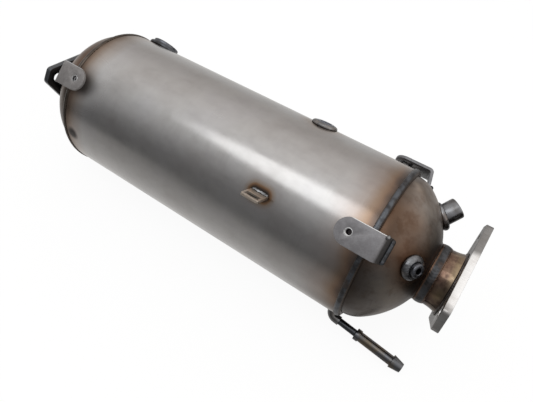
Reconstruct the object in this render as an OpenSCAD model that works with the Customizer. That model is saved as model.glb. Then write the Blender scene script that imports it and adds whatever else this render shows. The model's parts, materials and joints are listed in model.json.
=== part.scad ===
// Diesel particulate filter: a round stainless can with pressed end domes, a flared neck and two
// three-bolt flanges. Inside are an oxidation brick and a segmented filter brick in their mats.
// Outside are brackets with weld nuts, a shield tab, sensor bosses and a pressure pipe.
// All sizes are in millimetres. The origin is the middle of the inlet flange's sealing face.
// X runs along the can's axis and out of the inlet, and Z is up.
// A turn is an angle about the can's axis, from 0 at the front (-Y) up to 90 at the top (+Z).

/* [Can] */
// Outside diameter of the can
can_d = 155; // [150:1:180]
// Wall of the can
can_t = 1.5; // [1:0.1:2.5]
// Length of the can between its end seams
can_len = 342; // [320:1:400]

/* [Domes] */
// Step in from the can's outside to the outside of a dome past its rim
dome_inset = 4.3; // [3.5:0.1:6]
// Wall of the pressed domes
dome_t = 1.5; // [1:0.1:2.5]
// Length of a dome's rim inside the can
rim_in = 10; // [9:0.5:14]
// Length of the step from a dome's rim to its skirt
rim_step = 3; // [2:0.5:5]
// Length of a dome's straight skirt past the end of the can
skirt_out = 3; // [2:0.5:6]
// Depth of a dome from its skirt to its crown
dome_depth = 53; // [50:1:60]
// Radius of the knuckle between skirt and crown
knuckle_r = 31; // [28:1:36]
// Length of the inlet dome's drawn spout past the crown
inlet_spout_len = 4.5; // [4:0.5:8]
// Length of the outlet dome's drawn spout past the crown
outlet_spout_len = 8; // [8:0.5:30]
// Radius of the fillet between crown and spout
spout_fillet = 4; // [2:0.5:6]

/* [Neck] */
// Outside diameter of the spouts and of the neck at the dome
pipe_d = 56; // [46:1:58]
// Wall of the spouts and of the neck
pipe_t = 1.5; // [1:0.1:2.5]
// Outside diameter of the neck in its flange
flare_d = 61; // [60:1:66]
// Straight length of the neck before its flare
neck_straight = 7; // [2:0.5:8]
// Length of the neck, from the dome to the flange's face
neck_len = 25.5; // [23:0.5:60]
// Depth of a pipe's end below its flange's face
pipe_recess = 1.5; // [0.5:0.5:3]

/* [Flanges] */
// Thickness of the flanges
flange_t = 6.5; // [5:0.5:10]
// Distance from the axis to the inlet flange's flat tips
inlet_flange_reach = 61; // [58:1:75]
// Width of the inlet flange's flat tips
inlet_flange_tip = 22; // [18:1:36]
// Distance from the axis to the outlet flange's flat tips
outlet_flange_reach = 58; // [57:1:75]
// Width of the outlet flange's flat tips
outlet_flange_tip = 16; // [12:1:36]
// Radius of a flange's corners
flange_corner_r = 5; // [2:0.5:8]
// Diameter of the circle through the inlet flange's bolt holes
inlet_bolt_pcd = 94; // [86:1:100]
// Diameter of the circle through the outlet flange's bolt holes
outlet_bolt_pcd = 91; // [86:1:96]
// Diameter of a bolt hole
bolt_hole_d = 10.5; // [8:0.5:12.5]
// Turn of the inlet flange's first tip
inlet_flange_turn = 147.7; // [0:0.1:360]
// Turn of the outlet flange's first tip
outlet_flange_turn = 162; // [0:0.1:360]

/* [Bricks] */
// Gap between the bricks and the can that the mats fill
mat_gap = 4; // [2:0.5:10]
// Length of the oxidation brick
oxidation_len = 72; // [50:1:85]
// Length of the filter brick
filter_len = 182; // [150:1:185]
// Gap between the bricks
brick_gap = 24; // [18:1:30]
// Gap between the inlet dome's rim and the oxidation brick
brick_setback = 2; // [1:0.5:5]
// Filter segments across the brick
segment_count = 4; // [2:1:6]
// Cement joint between two segments
cement_t = 1; // [0.5:0.1:2]
// Cement skin around the segments
cement_skin = 1.5; // [1:0.1:3]
// Distance from a brick's end to its mat
mat_setback = 4; // [2:1:10]

/* [Brackets] */
// Width of a bracket
bracket_w = 24; // [18:1:30]
// Thickness of a bracket
bracket_t = 3; // [2:0.5:4]
// Gap between a bracket's foot plate and the can
bracket_standoff = 7.5; // [6:0.5:12]
// Length of an inlet bracket's plate from its round end to its bend
inlet_bracket_len = 40; // [34:0.5:60]
// Length of the outlet bracket's plate from its round end to its bend
outlet_bracket_len = 36.5; // [34:0.5:60]
// Distance from the seam out to a bracket's bend
bracket_out = 13; // [11:0.5:18]
// Outer radius of a bracket's bend
bracket_bend_r = 5; // [4:0.5:8]
// Lean of a bracket's leg from square, in degrees
bracket_lean = 15; // [5:1:25]
// Diameter of the hole through a bracket
bracket_hole_d = 7; // [6.5:0.5:9]
// Turn of the two front brackets
front_bracket_turn = 55.5; // [40:0.5:70]
// Turn of the rear bracket
rear_bracket_turn = 162; // [150:0.5:170]
// Width of a weld nut across its flats
nut_af = 10; // [9:0.5:13]
// Height of a weld nut
nut_h = 5; // [4:0.5:5.5]
// Diameter of a weld nut's thread
nut_thread_d = 5; // [4:0.5:6]

/* [Shield tab] */
// Length of the tab along the can
tab_len = 18; // [14:1:40]
// Height of the tab above the can
tab_h = 19; // [14:1:30]
// Thickness of the tab
tab_t = 2.5; // [1.5:0.5:4]
// Radius of the tab's outer corners
tab_corner_r = 2; // [1:0.5:5]
// Width of the slot in the tab
tab_slot_w = 3.5; // [2:0.5:5]
// Length of the slot in the tab
tab_slot_len = 9; // [6:0.5:10]
// Distance from the tab's outer edge to the middle of its slot
tab_slot_in = 5; // [4:0.5:9]
// Lean of the tab from upright, in degrees
tab_lean = 12; // [0:1:20]
// Distance from the inlet seam to the middle of the tab
tab_from_seam = 100; // [80:0.5:140]
// Turn of the tab
tab_turn = 48.5; // [35:0.5:50]

/* [Can bosses] */
// Diameter of the sensor boss over the gap between the bricks
gap_boss_d = 20; // [18:1:30]
// Height of the gap boss above the can
gap_boss_h = 3.5; // [3:0.5:10]
// Diameter of the gap boss's thread
gap_boss_thread_d = 12.5; // [8:0.5:16]
// Turn of the gap boss
gap_boss_turn = 132; // [110:1:140]
// Diameter of the sensor boss by the outlet seam
outlet_boss_d = 30; // [24:1:31]
// Height of the outlet boss above the can
outlet_boss_h = 6; // [3:0.5:12]
// Diameter of the outlet boss's thread
outlet_boss_thread_d = 14; // [10:0.5:16]
// Distance from the outlet seam to the middle of the outlet boss
outlet_boss_from_seam = 19; // [19:0.5:40]
// Turn of the outlet boss
outlet_boss_turn = 150; // [120:1:180]
// Bevel of a boss's mouth
boss_bevel = 0.8; // [0.3:0.1:1.5]

/* [Dome bosses] */
// Diameter of the temperature sensor boss
temperature_boss_d = 20; // [17:0.5:24]
// Length of the temperature sensor boss along its axis
temperature_boss_len = 17; // [12:0.5:24]
// Diameter of the temperature sensor boss's thread
temperature_thread_d = 12.5; // [8:0.5:14]
// Turn of the temperature sensor boss
temperature_turn = 152; // [130:1:175]
// Place of the temperature sensor boss on the dome, as an angle from the axis
temperature_place = 38; // [35:0.5:40]
// Lean of the temperature sensor boss's axis from the can's axis
temperature_lean = 58; // [35:1:62]
// Diameter of the pressure tap boss
tap_boss_d = 13; // [10:0.5:18]
// Length of the pressure tap boss along its axis
tap_boss_len = 8; // [6:0.5:16]
// Diameter of the pressure tap boss's hole
tap_hole_d = 5.5; // [3:0.5:7]
// Turn of the pressure tap boss
tap_turn = 53.5; // [40:0.5:70]
// Place of the pressure tap boss on the dome, as an angle from the axis
tap_place = 37.5; // [34:0.5:40]

/* [Pressure pipe] */
// Diameter of the elbow
elbow_d = 9.5; // [9:0.1:9.6]
// Radius of the elbow's bend at its middle line
elbow_bend_r = 7; // [6:0.5:12]
// Height of the elbow's straight foot above the can
elbow_foot = 2.5; // [2:0.5:8]
// Distance from the inlet seam to the elbow
elbow_from_seam = 7; // [7:0.1:7.5]
// Lean of the elbow and its pipe away from the can, in degrees
elbow_lean = 5.5; // [0:0.5:8]
// Turn of the elbow
elbow_turn = -45; // [-60:1:-35]
// Length of the elbow's straight end
elbow_end = 5; // [4:0.5:8]
// Outside diameter of the tube
tube_d = 7; // [5:0.5:7.5]
// Bore of the tube and the elbow
tube_bore = 4; // [2:0.5:4]
// Bare length of the tube between the elbow and the hose nipple
tube_len = 19; // [8:1:40]
// Depth of the tube in the elbow and in the nipple
tube_socket = 3; // [2:0.5:4]
// Diameter of the nipple's collar
collar_d = 12; // [11:0.5:14]
// Length of the nipple's collar
collar_len = 5; // [3:0.5:8]
// Diameter of the nipple's stem
stem_d = 10; // [8.5:0.1:10.5]
// Length of the nipple's stem
stem_len = 36; // [15:1:40]
// Diameter of the nipple's barb
barb_d = 13.5; // [11.5:0.5:15]
// Length of the nipple's barb
barb_len = 11; // [5:0.5:14]
// Diameter of the barb's tip
barb_tip_d = 9.5; // [5:0.5:10]

/* [Welds] */
// Width of the seam weld on the can
seam_bead_w = 5; // [3:0.5:8]
// Rise of the seam weld above the can
seam_bead_h = 1; // [0.5:0.1:2]
// Width of the neck weld
neck_bead_w = 12; // [6:0.5:13]
// Rise of the neck weld above the neck
neck_bead_h = 1.5; // [1:0.1:3]
// Radius of the weld behind a flange
flange_bead_r = 2; // [2:0.5:4]
// Radius of the welds at the brackets' legs
bracket_bead_r = 2.5; // [1.5:0.1:3]
// Radius of the welds at the tab
tab_bead_r = 2; // [1.5:0.1:3]
// Radius of the weld around a boss on the can
can_boss_bead_r = 3; // [2:0.1:4]
// Radius of the weld around the temperature sensor boss
temperature_bead_r = 3.4; // [2:0.1:5]
// Radius of the weld around the pressure tap boss
tap_bead_r = 4.6; // [3:0.1:5.5]
// Radius of the weld around the elbow
elbow_bead_r = 2; // [1.5:0.1:2.5]

/* [Fits] */
// Slip between a rim and the can, a pipe and its flange, or a tube and its socket
slip = 0.1; // [0.05:0.05:0.2]
// Slip between a mat and the brick or can it touches
mat_fit = 0.1; // [0.05:0.05:0.2]

/* [Hidden] */
fn_large = 128;
fn_arc = 96;
fn_small = 48;
// A length that reaches past whatever it cuts
past = 2 * can_d;

// The can and the domes. Along an end, places are measured from its seam outwards.
can_r = can_d / 2;
can_inner_r = can_r - can_t;
rim_r = can_inner_r - slip;
head_r = can_r - dome_inset;
knuckle_c = [head_r - knuckle_r, skirt_out];
crown_r = (pow(knuckle_c[0], 2) + pow(dome_depth, 2) - pow(knuckle_r, 2))
    / (2 * (dome_depth - knuckle_r));
crown_c = [0, skirt_out + dome_depth - crown_r];
head_split = atan2(knuckle_c[0], knuckle_c[1] - crown_c[1]);
pipe_r = pipe_d / 2;
flare_r = flare_d / 2;
spout_base = crown_c[1] + sqrt(pow(crown_r, 2) - pow(pipe_r, 2));
inlet_dome_len = round(10 * (spout_base + inlet_spout_len)) / 10;
outlet_dome_len = round(10 * (spout_base + outlet_spout_len)) / 10;
inlet_face = inlet_dome_len + neck_len;
outlet_face = outlet_dome_len + pipe_recess;
fillet_c = [
    pipe_r + spout_fillet,
    crown_c[1] + sqrt(pow(crown_r + spout_fillet, 2) - pow(pipe_r + spout_fillet, 2))
];
flange_corner_cut = flange_corner_r * (1 / cos(30) - cos(30));
flare_run = neck_len - flange_t - neck_straight;
flare_arc = (pow(flare_run, 2) + pow(flare_r - pipe_r, 2)) / (2 * (flare_r - pipe_r));
flare_bore_r = pipe_r + flare_arc - sqrt(pow(flare_arc + pipe_t, 2) - pow(flare_run, 2));
inlet_seam_x = -inlet_face;
outlet_seam_x = inlet_seam_x - can_len;

// The bricks, from the inlet end to the outlet end.
brick_r = can_inner_r - mat_gap;
oxidation_x = inlet_seam_x - rim_in - brick_setback - oxidation_len;
filter_x = oxidation_x - brick_gap - filter_len;
segment_field = 2 * (brick_r - cement_skin);
segment_pitch = (segment_field + cement_t) / segment_count;
segment_side = segment_pitch - cement_t;
gap_boss_x = oxidation_x - brick_gap / 2;

// A bracket in its own plane: places are [outwards from the seam, away from the axis].
bracket_top = can_r + bracket_standoff + bracket_t;
bend_sweep = 90 - bracket_lean;
bend_c = [bracket_out - bracket_bend_r, bracket_top - bracket_bend_r];
leg_normal = [cos(bracket_lean), sin(bracket_lean)];
leg_along = [sin(bracket_lean), -cos(bracket_lean)];
// A leg is a hair thinner than its bend, so that their faces never lie in each other
leg_step = 0.02;
leg_outer_foot = leg_foot(bracket_bend_r);
leg_inner_foot = leg_foot(bracket_bend_r - bracket_t);
leg_len = 2 * norm(leg_outer_foot - bend_c);

// The pressure pipe, from the end of the elbow's bend.
elbow_x = inlet_seam_x - elbow_from_seam;
tube_start = elbow_end - tube_socket;
nipple_start = elbow_end + tube_len;

// Where a line down a bracket's leg meets the knuckle of the dome.
function leg_foot(offset) =
    let (
        start = bend_c + offset * leg_normal,
        gap = start - [knuckle_c[1], knuckle_c[0]],
        along = gap * leg_along
    )
    start + leg_along * (-along - sqrt(pow(along, 2) - gap * gap + pow(knuckle_r, 2)));

// Place of a bracket's hole, in the middle of its round end, outwards from the seam.
function bracket_hole(len) = bracket_out - len + bracket_w / 2;

// A point of the dome's outside, as [radius, place], at an angle of its normal from the axis.
function head_point(angle) =
    angle < head_split
        ? crown_c + crown_r * [sin(angle), cos(angle)]
        : knuckle_c + knuckle_r * [sin(angle), cos(angle)];

// Radius of an arc of a given width and rise.
function cap_r(w, h) = (pow(w / 2, 2) + pow(h, 2)) / (2 * h);

// Revolves a profile of [radius, place along X] about the can's axis.
module about_x() {
    rotate([0, 90, 0])
        rotate_extrude($fn = fn_large)
            children();
}

// Turns a shape whose outward direction is Z to a turn about the can's axis.
module turned(turn) {
    rotate([90 - turn, 0, 0])
        children();
}

// Sets a shape that is measured outwards from its seam at the inlet end.
module at_inlet() {
    translate([inlet_seam_x, 0, 0])
        children();
}

// Sets a shape that is measured outwards from its seam at the outlet end.
module at_outlet() {
    translate([outlet_seam_x, 0, 0])
        mirror([1, 0, 0])
            children();
}

// Sets a shape on the dome, with Z along an axis at its own lean.
module on_head(turn, place, lean) {
    p = head_point(place);
    turned(turn)
        translate([p[1], 0, p[0]])
            rotate([0, 90 - lean, 0])
                children();
}

// Sets a shape on the can, with Z outwards from the can's surface.
module on_can(x, turn) {
    translate([x, 0, 0])
        turned(turn)
            translate([0, 0, can_r])
                children();
}

// Sets a shape at the elbow's foot, with Z up the elbow.
module on_elbow() {
    on_can(elbow_x, elbow_turn)
        rotate([0, -elbow_lean, 0])
            children();
}

// The knuckle and the crown of a dome's outside, inset and filled from the seam to the axis.
module head_arcs_2d(inset) {
    intersection() {
        square([past, past]);
        union() {
            translate(knuckle_c)
                circle(knuckle_r - inset, $fn = fn_large);
            intersection() {
                translate(crown_c)
                    circle(crown_r - inset, $fn = 2 * fn_large);
                translate(knuckle_c)
                    rotate(-head_split)
                        translate([-past, -past])
                            square([past, 2 * past]);
            }
        }
    }
}

// The dome's outside without its spout, filled to the axis.
module head_fill_2d() {
    translate([0, -rim_in])
        square([head_r, rim_in + skirt_out]);
    head_arcs_2d(0);
}

// The solid inside a dome's outer surface, to cut what sits on it.
module head_fill() {
    about_x()
        head_fill_2d();
}

// The corner between crown and spout that its fillet fills.
module spout_fillet_2d() {
    reach = crown_r - dome_t / 2;
    side = (fillet_c - crown_c) / norm(fillet_c - crown_c);
    difference() {
        polygon([
            [pipe_r - pipe_t / 2, crown_c[1] + reach * side[1]],
            crown_c + reach * side,
            fillet_c,
            [pipe_r - pipe_t / 2, fillet_c[1]]
        ]);
        translate(fillet_c)
            circle(spout_fillet, $fn = fn_arc);
    }
}

// The stepped rim of a dome, as the side of a wall at a depth below its outside.
function rim_side(depth) = [
    [rim_r - depth, -rim_in],
    [rim_r - depth, -rim_step],
    [head_r - depth, 0],
    [head_r - depth, skirt_out]
];

// The wall of a pressed dome with its stepped rim and its drawn spout.
module dome_2d(len) {
    inner = rim_side(dome_t);
    polygon(concat(rim_side(0), [for (i = [3 : -1 : 0]) inner[i]]));
    difference() {
        union() {
            head_arcs_2d(0);
            spout_fillet_2d();
            square([pipe_r, len]);
        }
        head_arcs_2d(dome_t);
        square([pipe_r - pipe_t, past]);
        square([past, skirt_out / 2]);
    }
}

// The neck's flare up to a given radius and from a given start, at a depth below its outside.
module flare_2d(end_r, start, depth) {
    difference() {
        translate([0, start])
            square([end_r, neck_len - pipe_recess - 2 * start]);
        translate([pipe_r - depth, -past])
            square([past, past + neck_straight]);
        translate([pipe_r + flare_arc, neck_straight])
            circle(flare_arc + depth, $fn = 2 * fn_large);
    }
}

// The neck from the inlet dome's spout to its flange, filled to the axis.
module neck_fill_2d() {
    flare_2d(flare_r, 0, 0);
}

// The wall of the neck.
module neck_2d() {
    difference() {
        neck_fill_2d();
        flare_2d(flare_bore_r, -pipe_t, pipe_t);
    }
}

// Puts a shape that is made for one corner, whose bisector is X, on all six flange corners.
module each_flange_corner(reach, tip) {
    for (turn = [0 : 120 : 240], side = [-1, 1])
        rotate(turn)
            translate([reach, side * tip / 2])
                rotate(side * 30)
                    children();
}

// The outline of a three-bolt flange: a triangle with its tips cut flat and its corners round.
module flange_2d(reach, tip, pcd, bore_r) {
    difference() {
        union() {
            difference() {
                polygon([
                    for (turn = [0 : 120 : 240], side = [-1, 1])
                        reach * [cos(turn), sin(turn)]
                            + side * tip / 2 * [-sin(turn), cos(turn)]
                ]);
                each_flange_corner(reach, tip)
                    translate([-flange_corner_cut, -tip])
                        square(2 * tip);
            }
            each_flange_corner(reach, tip)
                translate([-flange_corner_r / cos(30), 0])
                    circle(flange_corner_r, $fn = fn_small);
        }
        circle(bore_r, $fn = fn_large);
        for (turn = [0 : 120 : 240])
            rotate(turn)
                translate([pcd / 2, 0])
                    circle(d = bolt_hole_d, $fn = fn_small);
    }
}

// Sets a flange's outline at a turn, with its sealing face at a place outwards from the seam.
module flange_plate(face, turn) {
    turned(turn)
        translate([face - flange_t, 0, 0])
            rotate([0, 90, 0])
                linear_extrude(flange_t)
                    rotate(180)
                        children();
}

// The lap weld between the end of the can and a dome.
module seam_bead() {
    r = cap_r(seam_bead_w, seam_bead_h);
    about_x()
        difference() {
            union() {
                translate([can_r + seam_bead_h - r, seam_bead_h / 2])
                    circle(r, $fn = fn_arc);
                translate([head_r - can_t, 0])
                    square([can_r - head_r, can_r - head_r]);
            }
            translate([0, -past])
                square([can_r, past]);
            head_fill_2d();
        }
}

// The weld around the joint between the inlet dome's spout and its neck.
module neck_bead() {
    r = cap_r(neck_bead_w, neck_bead_h);
    about_x()
        difference() {
            translate([pipe_r + neck_bead_h - r, inlet_dome_len])
                circle(r, $fn = fn_arc);
            head_fill_2d();
            spout_fillet_2d();
            square([pipe_r, inlet_dome_len]);
            translate([0, inlet_dome_len])
                neck_fill_2d();
        }
}

// The weld between a pipe of a given radius and the back of its flange.
module flange_bead(face, r) {
    about_x()
        difference() {
            translate([r - flange_bead_r / 4, face - flange_t])
                circle(flange_bead_r, $fn = fn_arc);
            translate([0, face - flange_t])
                square([past, past]);
            children();
        }
}

// A tube of a given outside and bore along X.
module sleeve(x, outer_r, inner_r, len) {
    about_x()
        translate([inner_r, x])
            square([outer_r - inner_r, len]);
}

// The grid of filter segments along X, cut round.
module segment_grid() {
    translate([filter_x, 0, 0])
        rotate([0, 90, 0])
            for (i = [0 : segment_count - 1], j = [0 : segment_count - 1])
                intersection() {
                    cylinder(d = segment_field, h = filter_len, $fn = fn_large);
                    translate([
                        i * segment_pitch - segment_field / 2,
                        j * segment_pitch - segment_field / 2,
                        0
                    ])
                        cube([segment_side, segment_side, filter_len]);
                }
}

// The side of a bracket: its plate, its bend and its leg.
module bracket_side_2d(len) {
    plate_start = bracket_out - len;
    inner_r = bracket_bend_r - bracket_t;
    translate([plate_start, bracket_top - bracket_t])
        square([bend_c[0] - plate_start, bracket_t]);
    translate(bend_c) {
        intersection() {
            difference() {
                circle(bracket_bend_r, $fn = fn_arc);
                circle(inner_r, $fn = fn_arc);
            }
            translate([0, -bracket_w])
                square([bracket_w, 2 * bracket_w]);
            rotate(-bend_sweep)
                translate([-bracket_w, -bracket_w])
                    square([bracket_w, 2 * bracket_w]);
        }
        rotate(-bend_sweep)
            translate([-leg_step, inner_r + leg_step])
                square([leg_len, bracket_t - 2 * leg_step]);
    }
}

// A bracket before its leg is cut to the dome, at the top of the can.
module bracket_blank(len) {
    difference() {
        intersection() {
            rotate([90, 0, 0])
                linear_extrude(bracket_w, center = true)
                    bracket_side_2d(len);
            linear_extrude(past) {
                translate([bracket_hole(len), 0])
                    circle(d = bracket_w, $fn = fn_small);
                translate([bracket_hole(len), -bracket_w / 2])
                    square([past, bracket_w]);
            }
        }
        translate([bracket_hole(len), 0, can_r])
            cylinder(d = bracket_hole_d, h = past, $fn = fn_small);
    }
}

// A bracket at a turn, with its leg cut to the dome.
module bracket(turn, len) {
    difference() {
        turned(turn)
            bracket_blank(len);
        head_fill();
    }
}

// The weld nut under a bracket's hole.
module weld_nut(turn, len) {
    turned(turn)
        translate([bracket_hole(len), 0, bracket_top - bracket_t - nut_h])
            difference() {
                cylinder(d = nut_af / cos(30), h = nut_h, $fn = 6);
                translate([0, 0, -nut_h])
                    cylinder(d = nut_thread_d, h = 3 * nut_h, $fn = fn_small);
            }
}

// A round-ended bead of a given length along Z, about its middle.
module straight_bead(r, len) {
    translate([0, 0, -len / 2])
        rotate_extrude($fn = fn_small) {
            square([r, len]);
            intersection() {
                circle(r, $fn = fn_small);
                translate([0, -r])
                    square([r, r]);
            }
            translate([0, len])
                intersection() {
                    circle(r, $fn = fn_small);
                    square([r, r]);
                }
        }
}

// The two welds along the foot of a bracket's leg.
module bracket_bead_pair(turn) {
    shift = bracket_bead_r / 4 * leg_normal;
    for (foot = [leg_outer_foot + shift, leg_inner_foot - shift])
        difference() {
            turned(turn)
                translate([foot[0], 0, foot[1]])
                    rotate([90, 0, 0])
                        straight_bead(bracket_bead_r, bracket_w - 2.2 * bracket_bead_r);
            head_fill();
            turned(turn)
                rotate([90, 0, 0])
                    linear_extrude(bracket_w, center = true)
                        bracket_side_2d(inlet_bracket_len);
        }
}

// The can as a full bar, to cut what sits on it.
module can_fill() {
    translate([outlet_seam_x, 0, 0])
        rotate([0, 90, 0])
            cylinder(r = can_r, h = can_len, $fn = fn_large);
}

// A turned boss along Z that reaches below its seat, with a bevelled mouth.
module boss_body(d, h, sink) {
    rotate_extrude($fn = fn_small)
        polygon([
            [0, -sink],
            [d / 2, -sink],
            [d / 2, h - boss_bevel],
            [d / 2 - boss_bevel, h],
            [0, h]
        ]);
}

// A straight hole along Z through whatever is near the seat.
module seat_hole(d, reach) {
    translate([0, 0, -reach])
        cylinder(d = d, h = 2 * reach, $fn = fn_small);
}

// A ring of weld around a round foot.
module ring_bead(d, r) {
    rotate_extrude($fn = fn_small)
        translate([d / 2 + r / 8, 0])
            circle(r, $fn = fn_small);
}

// A boss on the can, cut to the can and bored through.
module can_boss(x, turn, d, h, thread_d) {
    difference() {
        on_can(x, turn)
            boss_body(d, h, d / 4);
        can_fill();
        on_can(x, turn)
            seat_hole(thread_d, d);
    }
}

// The weld around a boss on the can.
module can_boss_bead(x, turn, d, r) {
    difference() {
        on_can(x, turn)
            ring_bead(d, r);
        can_fill();
        on_can(x, turn)
            seat_hole(d, d);
    }
}

// A boss on the inlet dome, cut to the dome and bored through.
module head_boss(turn, place, lean, d, h, thread_d) {
    difference() {
        on_head(turn, place, lean)
            boss_body(d, h, d / 2);
        head_fill();
        on_head(turn, place, lean)
            seat_hole(thread_d, 2 * d);
    }
}

// The weld around a boss on the inlet dome, along the dome's own surface.
module head_boss_bead(turn, place, lean, d, r) {
    difference() {
        on_head(turn, place, (place + lean) / 2)
            ring_bead(d, r);
        head_fill();
        on_head(turn, place, lean)
            seat_hole(d, d);
    }
}

module can_shell() {
    color([0.70, 0.70, 0.69])
        difference() {
            sleeve(outlet_seam_x, can_r, can_inner_r, can_len);
            on_can(gap_boss_x, gap_boss_turn)
                seat_hole(gap_boss_thread_d, gap_boss_d);
            on_can(outlet_seam_x + outlet_boss_from_seam, outlet_boss_turn)
                seat_hole(outlet_boss_thread_d, outlet_boss_d);
            on_elbow()
                seat_hole(tube_bore, elbow_d);
        }
}

module inlet_dome() {
    color([0.48, 0.44, 0.41])
        difference() {
            at_inlet()
                about_x()
                    dome_2d(inlet_dome_len);
            at_inlet()
                on_head(temperature_turn, temperature_place, temperature_lean)
                    seat_hole(temperature_thread_d, temperature_boss_d);
            at_inlet()
                on_head(tap_turn, tap_place, tap_place)
                    seat_hole(tap_hole_d, tap_boss_d);
            on_elbow()
                seat_hole(tube_bore, elbow_d);
        }
}

module outlet_dome() {
    color([0.48, 0.44, 0.41])
        at_outlet()
            about_x()
                dome_2d(outlet_dome_len);
}

module inlet_neck() {
    color([0.52, 0.46, 0.42])
        at_inlet()
            about_x()
                translate([0, inlet_dome_len])
                    neck_2d();
}

module inlet_flange() {
    color([0.72, 0.71, 0.69])
        at_inlet()
            flange_plate(inlet_face, inlet_flange_turn)
                flange_2d(inlet_flange_reach, inlet_flange_tip, inlet_bolt_pcd, flare_r + slip);
}

module outlet_flange() {
    color([0.72, 0.71, 0.69])
        at_outlet()
            flange_plate(outlet_face, outlet_flange_turn)
                flange_2d(outlet_flange_reach, outlet_flange_tip, outlet_bolt_pcd, pipe_r + slip);
}

module oxidation_brick() {
    color([0.86, 0.82, 0.74])
        sleeve(oxidation_x, brick_r, 0, oxidation_len);
}

module oxidation_mat() {
    color([0.88, 0.86, 0.80])
        sleeve(
            oxidation_x + mat_setback,
            can_inner_r - mat_fit,
            brick_r + mat_fit,
            oxidation_len - 2 * mat_setback
        );
}

module filter_segments() {
    color([0.36, 0.37, 0.36])
        segment_grid();
}

module filter_cement() {
    color([0.60, 0.60, 0.57])
        difference() {
            sleeve(filter_x, brick_r, 0, filter_len);
            segment_grid();
        }
}

module filter_mat() {
    color([0.88, 0.86, 0.80])
        sleeve(
            filter_x + mat_setback,
            can_inner_r - mat_fit,
            brick_r + mat_fit,
            filter_len - 2 * mat_setback
        );
}

module inlet_seam_weld() {
    color([0.33, 0.33, 0.35])
        at_inlet()
            seam_bead();
}

module outlet_seam_weld() {
    color([0.33, 0.33, 0.35])
        at_outlet()
            seam_bead();
}

module inlet_neck_weld() {
    color([0.30, 0.30, 0.31])
        at_inlet()
            neck_bead();
}

module inlet_flange_weld() {
    color([0.30, 0.30, 0.31])
        at_inlet()
            flange_bead(inlet_face, flare_r)
                translate([0, inlet_dome_len])
                    flare_2d(flare_r + slip, 0, -slip);
}

module outlet_flange_weld() {
    color([0.30, 0.30, 0.31])
        at_outlet()
            flange_bead(outlet_face, pipe_r) {
                square([pipe_r, outlet_face]);
                head_fill_2d();
                spout_fillet_2d();
            }
}

module front_inlet_bracket() {
    color([0.52, 0.51, 0.53])
        at_inlet()
            bracket(front_bracket_turn, inlet_bracket_len);
}

module rear_inlet_bracket() {
    color([0.52, 0.51, 0.53])
        at_inlet()
            bracket(rear_bracket_turn, inlet_bracket_len);
}

module front_outlet_bracket() {
    color([0.52, 0.51, 0.53])
        at_outlet()
            bracket(front_bracket_turn, outlet_bracket_len);
}

module bracket_weld_nuts() {
    color([0.45, 0.45, 0.46]) {
        at_inlet()
            weld_nut(front_bracket_turn, inlet_bracket_len);
        at_inlet()
            weld_nut(rear_bracket_turn, inlet_bracket_len);
        at_outlet()
            weld_nut(front_bracket_turn, outlet_bracket_len);
    }
}

module bracket_welds() {
    color([0.32, 0.32, 0.33]) {
        at_inlet()
            bracket_bead_pair(front_bracket_turn);
        at_inlet()
            bracket_bead_pair(rear_bracket_turn);
        at_outlet()
            bracket_bead_pair(front_bracket_turn);
    }
}

// The tab's outline along the can from its foot outwards, with round corners and a slot.
module tab_2d() {
    slot_half = (tab_slot_len - tab_slot_w) / 2;
    difference() {
        union() {
            translate([-tab_len / 2, -2 * can_t])
                square([tab_len, 2 * can_t + tab_h - tab_corner_r]);
            translate([-tab_len / 2 + tab_corner_r, 0])
                square([tab_len - 2 * tab_corner_r, tab_h]);
            for (side = [-1, 1])
                translate([side * (tab_len / 2 - tab_corner_r), tab_h - tab_corner_r])
                    circle(tab_corner_r, $fn = fn_small);
        }
        translate([0, tab_h - tab_slot_in]) {
            translate([-slot_half, -tab_slot_w / 2])
                square([2 * slot_half, tab_slot_w]);
            for (side = [-1, 1])
                translate([side * slot_half, 0])
                    circle(d = tab_slot_w, $fn = fn_small);
        }
    }
}

// The tab in its place, before its foot is cut to the can.
module tab_blank() {
    on_can(inlet_seam_x - tab_from_seam, tab_turn)
        rotate([90 + tab_lean, 0, 0])
            linear_extrude(tab_t, center = true)
                tab_2d();
}

module shield_tab() {
    color([0.55, 0.54, 0.53])
        difference() {
            tab_blank();
            can_fill();
        }
}

module tab_welds() {
    color([0.32, 0.32, 0.33])
        for (side = [-1, 1])
            difference() {
                on_can(inlet_seam_x - tab_from_seam, tab_turn)
                    translate([0, side * tab_t / 2, 0])
                        rotate([0, 90, 0])
                            straight_bead(tab_bead_r, tab_len - 2.2 * tab_bead_r);
                can_fill();
                tab_blank();
            }
}

module gap_sensor_boss() {
    color([0.42, 0.41, 0.41])
        can_boss(gap_boss_x, gap_boss_turn, gap_boss_d, gap_boss_h, gap_boss_thread_d);
}

module gap_boss_weld() {
    color([0.32, 0.32, 0.33])
        can_boss_bead(gap_boss_x, gap_boss_turn, gap_boss_d, can_boss_bead_r);
}

module outlet_sensor_boss() {
    color([0.42, 0.41, 0.41])
        can_boss(
            outlet_seam_x + outlet_boss_from_seam,
            outlet_boss_turn,
            outlet_boss_d,
            outlet_boss_h,
            outlet_boss_thread_d
        );
}

module outlet_boss_weld() {
    color([0.32, 0.32, 0.33])
        difference() {
            can_boss_bead(
                outlet_seam_x + outlet_boss_from_seam,
                outlet_boss_turn,
                outlet_boss_d,
                can_boss_bead_r
            );
            at_outlet()
                seam_bead();
        }
}

module temperature_boss() {
    color([0.45, 0.45, 0.46])
        at_inlet()
            head_boss(
                temperature_turn,
                temperature_place,
                temperature_lean,
                temperature_boss_d,
                temperature_boss_len,
                temperature_thread_d
            );
}

module temperature_boss_weld() {
    color([0.32, 0.32, 0.33])
        at_inlet()
            head_boss_bead(
                temperature_turn,
                temperature_place,
                temperature_lean,
                temperature_boss_d,
                temperature_bead_r
            );
}

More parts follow.
